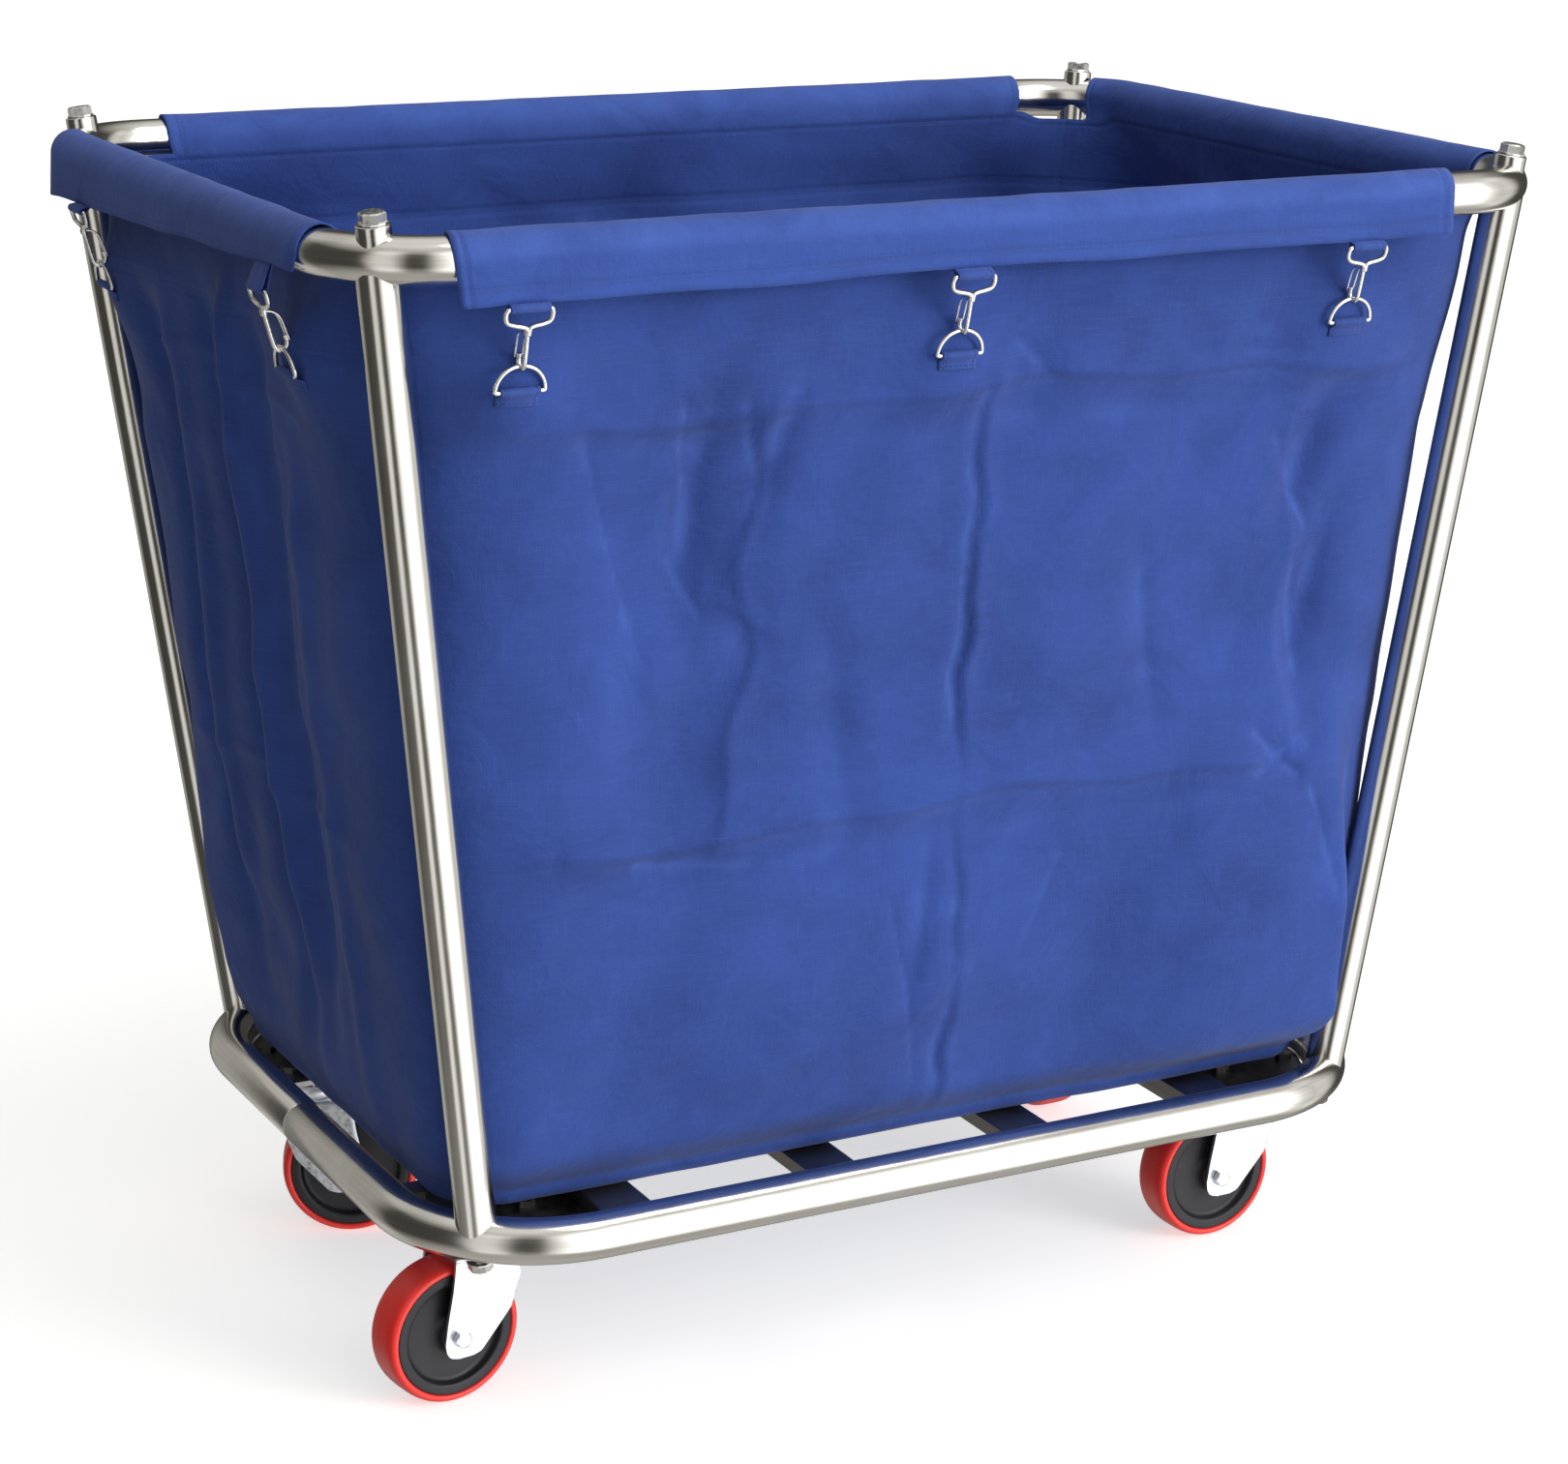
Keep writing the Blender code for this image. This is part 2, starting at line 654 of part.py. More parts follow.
def build_fork(tag, turn, swivel, plate_top):
    yoke = prism(FORK_LEG, -FORK_OUTER_HALF, FORK_OUTER_HALF)
    upright = turn @ Matrix.Rotation(math.pi / 2, 4, "X")
    bmesh.ops.transform(yoke, matrix=upright, verts=yoke.verts)
    origin = Vector((swivel.x, swivel.y, FORK_WEB_TOP))
    fork = add_object(tag + "_fork", yoke, "zinc", origin)
    slot = box((-WHEEL_RADIUS, -FORK_INNER_HALF, 0), (WHEEL_RADIUS, FORK_INNER_HALF, FORK_WEB_BOTTOM))
    bmesh.ops.transform(slot, matrix=turn, verts=slot.verts)
    boolean(fork, add_tool(tag + "_slot", slot), "DIFFERENCE")
    race_top = plate_top - CASTER_PLATE_THICKNESS - FIT
    low = FORK_WEB_TOP - FORK_SINK
    throat = KINGPIN_HOLE_RADIUS + FORK_SINK
    profile = [
        (throat, low),
        (RACEWAY_LIP, low),
        (RACEWAY_RADIUS, low + RACEWAY_ROUNDING),
        (RACEWAY_RADIUS, race_top - RACEWAY_ROUNDING),
        (RACEWAY_LIP, race_top),
        (throat, race_top),
    ]
    race = revolve(profile, Vector((swivel.x, swivel.y, 0)), Vector((0, 0, 1)), ROUND)
    boolean(fork, add_tool(tag + "_raceway", race), "UNION")
    bore = cylinder(
        Vector((swivel.x, swivel.y, FORK_WEB_BOTTOM - BORE_OVERRUN)),
        Vector((swivel.x, swivel.y, race_top + BORE_OVERRUN)),
        KINGPIN_HOLE_RADIUS,
        SMALL_ROUND,
    )
    boolean(fork, add_tool(tag + "_bore", bore), "DIFFERENCE")
    hole = cylinder(
        turn @ Vector((TRAIL, -2 * FORK_OUTER_HALF, WHEEL_RADIUS)),
        turn @ Vector((TRAIL, 2 * FORK_OUTER_HALF, WHEEL_RADIUS)),
        BOLT_HOLE_RADIUS,
        SMALL_ROUND,
    )
    boolean(fork, add_tool(tag + "_axle_hole", hole), "DIFFERENCE")


def mirrored(half):
    """A closed profile from its half on one side of the middle plane."""
    return half + [(radius, -t) for radius, t in reversed(half)]


def build_wheel(tag, turn):
    centre = turn @ Vector((TRAIL, 0, WHEEL_RADIUS))
    axis = (turn @ Vector((TRAIL, 1, WHEEL_RADIUS)) - centre).normalized()
    half_facet = math.pi / TREAD_SIDES
    rolling = WHEEL_RADIUS / math.cos(half_facet)
    tread_half = TREAD_HALF + [(rolling, TREAD_FLAT_HALF)]
    hub = revolve(mirrored(HUB_HALF), centre, axis, HUB_SIDES)
    add_object(tag + "_hub", hub, "hub", centre)
    tyre = revolve(mirrored(tread_half), centre, axis, TREAD_SIDES, half_facet)
    add_object(tag + "_tread", tyre, "tread", centre)
    add_object(tag + "_axle_bolt", axle_bolt(centre, axis), "zinc")


def axle_bolt(centre, axis):
    """Bolt and nut clamped outside the fork legs, modelled tight as one piece."""
    side, up, along = frame_about(axis)
    face = FORK_OUTER_HALF + FIT
    rings = []
    for sign in (-1, 1):
        end = centre + along * sign * (face + AXLE_HEAD)
        rim = centre + along * sign * (face + AXLE_HEAD - BOLT_CHAMFER / 2)
        seat = centre + along * sign * face
        ends = [
            circle(end, side, up, AXLE_HEAD, SMALL_ROUND),
            hexagon(rim, side, up, AXLE_HEX_RADIUS, SMALL_ROUND),
            hexagon(seat, side, up, AXLE_HEX_RADIUS, SMALL_ROUND),
            circle(seat, side, up, BOLT_RADIUS, SMALL_ROUND),
        ]
        rings.extend(ends if sign < 0 else reversed(ends))
    return skin(rings)


# ---------------------------------------------------------------- bag


def ring_samples():
    """Stations round the top ring: quarter, share, and whether the next span carries a flap.

    The stations run anticlockwise seen from above, starting at the middle of the right end.
    """
    stations = []
    quarters = (((1, 1), False), ((-1, 1), True), ((-1, -1), False), ((1, -1), True))
    for quarter, backwards in quarters:
        flip_x, flip_y = quarter
        long_reach = LONG_FLAP[1] if flip_x * flip_y < 0 else -LONG_FLAP[0]
        short_reach = SHORT_FLAP[1] if flip_x * flip_y > 0 else -SHORT_FLAP[0]
        end_share = end_share_at(short_reach)
        long_share = long_share_at(long_reach)
        shares = [(s, "short") for s in END_SHARES if s < end_share - SHARE_GAP]
        shares += [(end_share, "short")] + [(s, None) for s in BARE_SHARES]
        shares += [(long_share, "long")]
        shares += [(s, "long") for s in SIDE_SHARES if s > long_share + SHARE_GAP]
        if backwards:
            shares.reverse()
        for share, flap in shares:
            if stations and is_same(stations[-1], quarter, share):
                continue
            stations.append((quarter, share, flap))
    last_quarter, last_share, _ = stations[-1]
    if last_share == 0.0:
        stations.pop()
    return stations


def is_same(station, quarter, share):
    """Whether two stations meet in one place, where one quarter ends and the next begins."""
    size = (TOP_HALF_LENGTH, TOP_HALF_WIDTH, TOP_CORNER_RADIUS)
    first, _ = rounded_point(*size, station[0], station[1])
    second, _ = rounded_point(*size, quarter, share)
    return (first - second).length < WELD


def end_share_at(y):
    straight = TOP_HALF_WIDTH - TOP_CORNER_RADIUS
    if y <= straight:
        return y / straight
    return 1 + math.asin((y - straight) / TOP_CORNER_RADIUS) / (math.pi / 2)


def long_share_at(x):
    straight = TOP_HALF_LENGTH - TOP_CORNER_RADIUS
    if x <= straight:
        return 3 - x / straight
    return 2 - math.asin((x - straight) / TOP_CORNER_RADIUS) / (math.pi / 2)


def build_bag():
    stations = ring_samples()
    count = len(stations)
    bm = bmesh.new()
    rows = []
    for height, length, width, corner in BAG_SECTIONS:
        row = []
        for quarter, share, _ in stations:
            point, _ = rounded_point(length, width, corner, quarter, share)
            row.append(bm.verts.new((point.x, point.y, height)))
        rows.append(row)
    bm.faces.new(list(reversed(rows[0])))
    for low, high in zip(rows, rows[1:]):
        bridge(bm, low, high)
    add_flaps(bm, stations, rows[-1], count)
    bag = add_object("laundry_bag", bm, "canvas", wound=True)
    solid = bag.modifiers.new("cloth_thickness", "SOLIDIFY")
    solid.thickness = CLOTH
    solid.offset = -1.0
    solid.use_even_offset = True
    solid.use_rim = True


def add_flaps(bm, stations, rim, count):
    """Strips carried from the rim over the tube and down its outside."""
    radius = TOP_TUBE_RADIUS + CLOTH_GAP
    angles = [math.pi * (1 - i / FLAP_STEPS) for i in range(FLAP_STEPS + 1)]
    columns = {}
    for i, (quarter, share, flap) in enumerate(stations):
        if flap is None:
            continue
        point, normal = rounded_point(
            TOP_HALF_LENGTH, TOP_HALF_WIDTH, TOP_CORNER_RADIUS, quarter, share
        )
        column = [rim[i]]
        for angle in angles:
            place = point + normal * (radius * math.cos(angle))
            height = TOP_HEIGHT + radius * math.sin(angle)
            column.append(bm.verts.new((place.x, place.y, height)))
        hem = point + normal * radius
        column.append(bm.verts.new((hem.x, hem.y, FLAP_HEM)))
        columns[i] = (flap, column)
    for i in range(count):
        j = (i + 1) % count
        if i in columns and j in columns and columns[i][0] == columns[j][0]:
            first = columns[i][1]
            second = columns[j][1]
            for k in range(len(first) - 1):
                bm.faces.new((first[k], second[k], second[k + 1], first[k + 1]))


# ---------------------------------------------------------------- snap hooks


def build_hook(name, pivot, along_panel, outward):
    """The hook leans from its eye bar towards the bag."""
    down = Vector((0, 0, -1))
    axis = down * math.cos(HOOK_LEAN) - outward * math.sin(HOOK_LEAN)
    out = outward * math.cos(HOOK_LEAN) + down * math.sin(HOOK_LEAN)
    points = [pivot + along_panel * x + out * y + axis * z for x, y, z in HOOK_SHAPE]
    bent = curve_tube(points, HOOK_WIRE, WIRE_RESOLUTION, "MINIMUM", True)
    add_object(name, bent, "nickel", pivot)


def build_hooks():
    for sign, side in ((-1, "front"), (1, "rear")):
        for word, x in LONG_SIDE_HOOKS.items():
            place = -sign * x
            label = word if sign < 0 else {"left": "right", "right": "left"}.get(word, word)
            pivot = Vector((place, sign * (TOP_HALF_WIDTH + HOOK_STANDOFF), HOOK_PIVOT_HEIGHT))
            name = "snap_hook_" + side + "_" + label
            build_hook(name, pivot, Vector((-sign, 0, 0)), Vector((0, sign, 0)))
    for sign, side in ((-1, "left"), (1, "right")):
        for word, y in SHORT_SIDE_HOOKS.items():
            place = -sign * y
            label = word if sign < 0 else {"front": "rear", "rear": "front"}[word]
            pivot = Vector((sign * (TOP_HALF_LENGTH + HOOK_STANDOFF), place, HOOK_PIVOT_HEIGHT))
            name = "snap_hook_" + side + "_" + label
            build_hook(name, pivot, Vector((0, -sign, 0)), Vector((sign, 0, 0)))


build_rings()
build_sleeves()
build_posts()
build_frame_bolts()
build_crossbars()
build_mounting_plates()
build_casters()
build_bag()
build_hooks()
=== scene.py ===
import math

import bmesh
import bpy
import numpy as np
from mathutils import Matrix, Vector


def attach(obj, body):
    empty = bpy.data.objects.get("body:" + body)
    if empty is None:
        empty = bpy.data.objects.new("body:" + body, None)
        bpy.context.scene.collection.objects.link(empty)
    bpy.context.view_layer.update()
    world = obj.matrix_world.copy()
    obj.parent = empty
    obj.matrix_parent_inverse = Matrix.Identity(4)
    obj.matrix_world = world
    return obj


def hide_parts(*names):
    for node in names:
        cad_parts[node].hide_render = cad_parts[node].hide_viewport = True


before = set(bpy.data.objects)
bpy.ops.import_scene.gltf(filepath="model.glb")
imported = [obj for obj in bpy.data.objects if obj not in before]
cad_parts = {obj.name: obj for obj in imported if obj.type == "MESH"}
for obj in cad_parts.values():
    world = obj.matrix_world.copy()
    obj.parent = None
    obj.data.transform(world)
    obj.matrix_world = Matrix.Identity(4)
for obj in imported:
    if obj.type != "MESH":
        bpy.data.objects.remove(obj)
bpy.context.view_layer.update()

# The hotel linen cart's looks: brushed stainless tube, zinc casters with red treads, and a blue
# canvas bag that hangs from the top ring by ten wire snap hooks. Metres, +Z up, front faces -Y.

# ---- dimensions shared with the CAD ----
TOP = dict(a=0.440, b=0.306, z=0.812, corner=0.075, tube=0.015)
BASE = dict(a=0.374, b=0.261, z=0.146, corner=0.108, tube=0.016)
POST_RADIUS = 0.014
# The rings' joints: how far off centre, half the gap, and the rounding of the tubes' cut ends.
SEAM_OFFSET, RING_GAP, END_ROUND = 0.014, 0.0003, 0.0009
BOSS_RADIUS, BOSS_TOP = 0.011, 0.0215
SWIVEL_X, SWIVEL_Y, TRAIL, WHEEL_RADIUS = 0.314, 0.155, 0.025, 0.051
CASTERS = {
    "front_left": (-1, -1, 188.0),
    "front_right": (1, -1, 182.0),
    "rear_left": (-1, 1, -21.0),
    "rear_right": (1, 1, -90.0),
}
HOOK_STANDOFF, HOOK_PIVOT_HEIGHT, HOOK_LEAN = 0.0205, 0.784, math.radians(15.0)
LONG_HOOKS = {"left": -0.338, "centre": -0.032, "right": 0.273}
SHORT_HOOKS = {"front": -0.192, "rear": 0.172}
RIGHT, REAR, LEFT, FRONT = range(4)
HOOKS = []
for word, place in LONG_HOOKS.items():
    HOOKS.append(("snap_hook_front_" + word, FRONT, place))
    word = {"left": "right", "right": "left"}.get(word, word)
    HOOKS.append(("snap_hook_rear_" + word, REAR, -place))
for word, place in SHORT_HOOKS.items():
    HOOKS.append(("snap_hook_left_" + word, LEFT, place))
    word = {"front": "rear", "rear": "front"}[word]
    HOOKS.append(("snap_hook_right_" + word, RIGHT, -place))
CLOTH = 0.0012
FLOOR_Z = 0.1527
# What the hooks and rings are placed on: the bag's wall and its flaps, once they are made.
BAG = {"flaps": {}}


# ================================================================ mesh building


class Shell:
    """Grids of points gathered into one mesh, each with its own UVs in metres and its material."""

    def __init__(self):
        self.verts, self.faces, self.uvs, self.mats = [], [], [], []
        self.count = 0

    def grid(self, points, uv, close_u=False, close_v=False, mat=0, caps=False):
        points = np.asarray(points, float)
        nu, nv = points.shape[:2]
        base = self.count
        self.verts.append(points.reshape(-1, 3))
        self.count += nu * nv
        mu = nu if close_u else nu - 1
        mv = nv if close_v else nv - 1
        i, j = np.meshgrid(np.arange(mu), np.arange(mv), indexing="ij")
        i, j = i.ravel(), j.ravel()
        i2, j2 = (i + 1) % nu, (j + 1) % nv
        quad = np.stack([i * nv + j, i2 * nv + j, i2 * nv + j2, i * nv + j2], 1) + base
        self.faces.extend(quad.tolist())
        corners = [uv[i, j], uv[i + 1, j], uv[i + 1, j + 1], uv[i, j + 1]]
        self.uvs.extend(np.stack(corners, 1).reshape(-1, 2).tolist())
        self.mats.extend([mat] * len(quad))
        if caps and close_v:
            for row in (0, nu - 1):
                self.faces.append([base + row * nv + k for k in range(nv)])
                flat = points[row] - points[row].mean(0)
                first = unit(flat[0])
                across = np.cross(unit(np.cross(first, flat[nv // 4])), first)
                self.uvs.extend(np.stack([flat @ first, flat @ across], 1).tolist())
                self.mats.append(mat)

    def mesh(self, name, materials):
        verts = np.concatenate(self.verts)
        mesh = bpy.data.meshes.new(name)
        mesh.from_pydata(verts.tolist(), [], self.faces)
        layer = mesh.uv_layers.new(name="metres")
        layer.data.foreach_set("uv", np.asarray(self.uvs, np.float32).ravel())
        mesh.polygons.foreach_set("material_index", np.asarray(self.mats, np.int32))
        mesh.polygons.foreach_set("use_smooth", np.full(len(self.faces), True))
        for mat in materials:
            mesh.materials.append(mat)
        mesh.update()
        clean(mesh)
        return mesh

    def object(self, name, materials, body, slot, nodes=()):
        obj = bpy.data.objects.new(name, self.mesh(name, materials))
        bpy.context.scene.collection.objects.link(obj)
        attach(obj, body)
        if nodes:
            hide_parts(*nodes)
        return obj


def clean(mesh, weld=False):
    """Faces turned outwards; with weld, points and edges that coincide become one."""
    bm = bmesh.new()
    bm.from_mesh(mesh)
    if weld:
        bmesh.ops.remove_doubles(bm, verts=bm.verts, dist=0.00003)
        bmesh.ops.dissolve_degenerate(bm, edges=bm.edges, dist=0.00001)
    bmesh.ops.recalc_face_normals(bm, faces=bm.faces)
    bm.to_mesh(mesh)
    bm.free()


def modifier(obj, kind, **settings):
    mod = obj.modifiers.new(kind.lower(), kind)
    for key, value in settings.items():
        setattr(mod, key, value)


def unit(v):
    v = np.asarray(v, float)
    return v / np.linalg.norm(v, axis=-1, keepdims=True)


def lengths(path):
    steps = np.linalg.norm(np.diff(path, axis=0), axis=1)
    return np.concatenate([[0], np.cumsum(steps)])


def tube(shell, path, side, up, radius, sides=40, closed=False):
    """A round tube; side and up span each ring's plane, radius may change along the path."""
    path = np.asarray(path, float)
    n = len(path)
    radius = np.broadcast_to(np.asarray(radius, float), (n,))
    angle = np.linspace(0, 2 * np.pi, sides, endpoint=False)
    side = np.broadcast_to(side, (n, 3))
    up = np.broadcast_to(up, (n, 3))
    cos, sin = np.cos(angle)[None, :, None], np.sin(angle)[None, :, None]
    ring = side[:, None] * cos + up[:, None] * sin
    points = path[:, None] + ring * radius[:, None, None]
    along = lengths(path)
    if closed:
        along = np.append(along, along[-1] + np.linalg.norm(path[0] - path[-1]))
    around = np.linspace(0, 2 * np.pi, sides + 1) * radius.max()
    uv = np.stack(np.meshgrid(along, around, indexing="ij"), -1)
    shell.grid(points, uv, close_u=closed, close_v=True, caps=not closed)


def wire(shell, path, radius, sides=12, smooth=2, closed=False):
    """A round wire through points, with its corners rounded by cutting."""
    path = np.asarray(path, float)
    for _ in range(smooth):
        path = cut_corners(path, closed)
    if closed:
        tangent = unit(np.roll(path, -1, 0) - np.roll(path, 1, 0))
    else:
        tangent = unit(np.gradient(path, axis=0))
    side = [unit(np.cross(tangent[0], [0.31, 0.22, 0.93]))]
    for t in tangent[1:]:
        side.append(unit(side[-1] - t * (side[-1] @ t)))
    side = np.array(side)
    tube(shell, path, side, np.cross(tangent, side), radius, sides, closed)


def cut_corners(path, closed=False):
    following = np.roll(path, -1, 0) if closed else path[1:]
    current = path if closed else path[:-1]
    out = np.stack([current * 0.75 + following * 0.25, current * 0.25 + following * 0.75], 1)
    out = out.reshape(-1, 3)
    return out if closed else np.concatenate([path[:1], out, path[-1:]])


def lathe(shell, profile, centre, axis, sides=64):
    """A closed profile of (radius, distance along the axis) turned about the axis."""
    axis = unit(axis)
    helper = np.array([0, 0, 1.0]) if abs(axis[2]) < 0.9 else np.array([1.0, 0, 0])
    side = unit(np.cross(helper, axis))
    up = np.cross(axis, side)
    profile = np.asarray(profile, float)
    angle = np.linspace(0, 2 * np.pi, sides, endpoint=False)
    ring = side[None] * np.cos(angle)[:, None] + up[None] * np.sin(angle)[:, None]
    points = np.asarray(centre, float) + ring[:, None] * profile[None, :, 0, None]
    points = points + axis * profile[None, :, 1, None]
    along = lengths(np.concatenate([profile, profile[:1]]))
    around = np.linspace(0, 2 * np.pi, sides + 1)
    uv = np.stack(np.broadcast_arrays(around[:, None] * profile[:, 0].max(), along[None, :]), -1)
    shell.grid(points, uv, close_u=True, close_v=True)


def rounded_profile(points, radius, steps=4):
    """A closed profile with every corner rounded by a small arc."""
    points = np.asarray(points, float)
    out = []
    n = len(points)
    for i in range(n):
        p, a, b = points[i], points[i - 1], points[(i + 1) % n]
        ra = min(radius, np.linalg.norm(a - p) * 0.45)
        rb = min(radius, np.linalg.norm(b - p) * 0.45)
        start, end = p + unit(a - p) * ra, p + unit(b - p) * rb
        for t in np.linspace(0, 1, steps):
            out.append((1 - t) ** 2 * start + 2 * t * (1 - t) * p + t * t * end)
    return np.array(out)


def bevel(obj, width, angle):
    modifier(obj, "BEVEL", width=width, segments=2, limit_method="ANGLE",
             angle_limit=math.radians(angle))


# ================================================================ materials


def new_material(name):
    """A material, the short calls for its nodes, and its shader."""
    mat = bpy.data.materials.new(name)
    mat.use_nodes = True
    return mat, Nodes(mat.node_tree), mat.node_tree.nodes["Principled BSDF"]


class Nodes:
    """Short calls for building a node tree."""

    def __init__(self, tree):
        self.tree = tree

    def add(self, kind, sockets=None, **settings):
        node = self.tree.nodes.new(kind)
        for key, value in settings.items():
            setattr(node, key, value)
        return self.fill(node, sockets or {})

    def fill(self, node, sockets):
        for key, value in sockets.items():
            self.put(node.inputs[key], value)
        return node

    def put(self, socket, value):
        if isinstance(value, bpy.types.NodeSocket):
            self.tree.links.new(value, socket)
        elif socket.type == "RGBA":
            socket.default_value = (*value, 1.0)
        else:
            socket.default_value = value

    def math(self, operation, *values):
        return self.add("ShaderNodeMath", dict(enumerate(values)), operation=operation).outputs[0]

    def times(self, a, b):
        return self.math("MULTIPLY", a, b)

    def plus(self, a, b):
        return self.math("ADD", a, b)

    def noise(self, vector, scale, detail=3.0, rough=0.55, distortion=0.0):
        return self.add("ShaderNodeTexNoise", {
            "Scale": scale, "Detail": detail, "Roughness": rough, "Distortion": distortion,
            "Vector": vector}).outputs["Fac"]

    def scaled(self, vector, scale):
        return self.add("ShaderNodeVectorMath", {1: scale, 0: vector},
                        operation="MULTIPLY").outputs[0]

    def ramp(self, value, low, high, out_low=0.0, out_high=1.0):
        return self.add("ShaderNodeMapRange", {
            "From Min": low, "From Max": high, "To Min": out_low, "To Max": out_high,
            "Value": value}, clamp=True).outputs["Result"]

    def mix(self, factor, a, b):
        node = self.add("ShaderNodeMix", {"Factor": factor}, data_type="RGBA")
        for name, value in (("A", a), ("B", b)):
            self.put([s for s in node.inputs if s.name == name and s.type == "RGBA"][0], value)
        return [s for s in node.outputs if s.type == "RGBA"][0]

    def bump(self, height, strength, distance, normal=None):
        sockets = {"Strength": strength, "Distance": distance, "Height": height}
        if normal is not None:
            sockets["Normal"] = normal
        return self.add("ShaderNodeBump", sockets).outputs["Normal"]

    def object_space(self):
        return self.add("ShaderNodeTexCoord").outputs["Object"]

    def uv(self):
        return self.add("ShaderNodeUVMap", uv_map="metres").outputs["UV"]

    def split(self, vector):
        return self.add("ShaderNodeSeparateXYZ", {0: vector}).outputs


def brushed_metal(name, colour, dark, rough, streak=260.0, lengthwise=6.0, bump=0.12):
    """Tube or sheet metal with fine streaks along it, handling smears and small colour drift."""
    mat, n, shader = new_material(name)
    uv, space = n.uv(), n.object_space()
    streaks = n.noise(n.scaled(uv, (lengthwise, streak, 1.0)), 1.0, 4.0, 0.6)
    smears = n.noise(n.scaled(space, (1, 1, 1)), 9.0, 4.0, 0.6, 0.4)
    fine = n.noise(n.scaled(uv, (lengthwise * 6, streak * 4, 1.0)), 1.0, 2.0, 0.5)
    tone = n.plus(n.times(streaks, 0.55), n.times(smears, 0.45))
    base = n.mix(n.ramp(tone, 0.38, 0.62), dark, colour)
    gloss = n.plus(n.times(smears, 0.6), n.times(fine, 0.4))
    normal = n.bump(streaks, bump, 0.0004)
    n.fill(shader, {
        "Base Color": base, "Metallic": 1.0,
        "Roughness": n.ramp(gloss, 0.3, 0.7, rough * 0.75, rough * 1.35),
        "Normal": n.bump(n.noise(space, 28.0, 2.0, 0.5), 0.05, 0.004, normal)})
    return mat


def plated(name, colour, dark, rough, grain=240.0, bump=0.10):
    """Zinc or nickel plate: crystalline mottling, no direction."""
    mat, n, shader = new_material(name)
    space = n.object_space()
    cloud = n.noise(space, 35.0, 4.0, 0.6)
    cell = n.add("ShaderNodeTexVoronoi", {"Scale": grain, "Vector": space})
    flakes = n.ramp(cell.outputs["Distance"], 0.0, 0.7)
    tone = n.plus(n.times(cloud, 0.7), n.times(flakes, 0.3))
    normal = n.bump(flakes, bump, 0.0002)
    n.fill(shader, {
        "Base Color": n.mix(n.ramp(tone, 0.3, 0.62), dark, colour), "Metallic": 1.0,
        "Roughness": n.ramp(tone, 0.3, 0.7, rough * 0.8, rough * 1.4),
        "Normal": n.bump(n.noise(space, 90.0, 3.0, 0.6), 0.06, 0.001, normal)})
    return mat


def moulded(name, colour, dusty, rough, bump=0.15, dust=0.4):
    """Moulded plastic or polyurethane: fine pebbling, scuffs and patches of dust."""
    mat, n, shader = new_material(name)
    space = n.object_space()
    cloud = n.noise(space, 28.0, 5.0, 0.65, 0.3)
    scuff = n.noise(n.scaled(space, (1.0, 1.0, 3.0)), 160.0, 3.0, 0.7)
    dusted = n.times(n.ramp(cloud, 0.45, 0.75), dust)
    base = n.mix(dusted, colour, dusty)
    base = n.mix(n.times(n.ramp(scuff, 0.62, 0.8), dust * 0.5), base, dusty)
    normal = n.bump(n.noise(space, 900.0, 2.0, 0.5), bump, 0.0002)
    n.fill(shader, {
        "Base Color": base, "Roughness": n.ramp(cloud, 0.3, 0.7, rough * 0.85, rough * 1.3),
        "Normal": n.bump(scuff, bump * 0.5, 0.0003, normal)})
    return mat


def weave_height(n, uv, pitch):
    """Over-and-under plain weave from UVs in metres."""
    u, v, _ = n.split(uv)
    across = n.math("SINE", n.times(u, math.pi / pitch))
    along = n.math("SINE", n.times(v, math.pi / pitch))
    over = n.math("GREATER_THAN", n.times(across, along), 0.0)
    warp = n.times(n.math("ABSOLUTE", across), over)
    weft = n.times(n.math("ABSOLUTE", along), n.math("SUBTRACT", 1.0, over))
    return n.plus(warp, weft), u, v


def stitch_row(n, across, along, place, pitch=0.0036, width=0.0009):
    """1 on the thread of a row of stitches at a given place, running along the other axis."""
    near = n.math("COMPARE", across, place, width / 2)
    dash = n.math("SINE", n.times(along, 2 * math.pi / pitch))
    return n.times(near, n.math("GREATER_THAN", dash, -0.45))


def seam_dip(n, across, place, width=0.0035):
    """A soft groove either side of a stitch row."""
    gap = n.math("ABSOLUTE", n.math("SUBTRACT", across, place))
    return n.ramp(gap, 0.0, width)


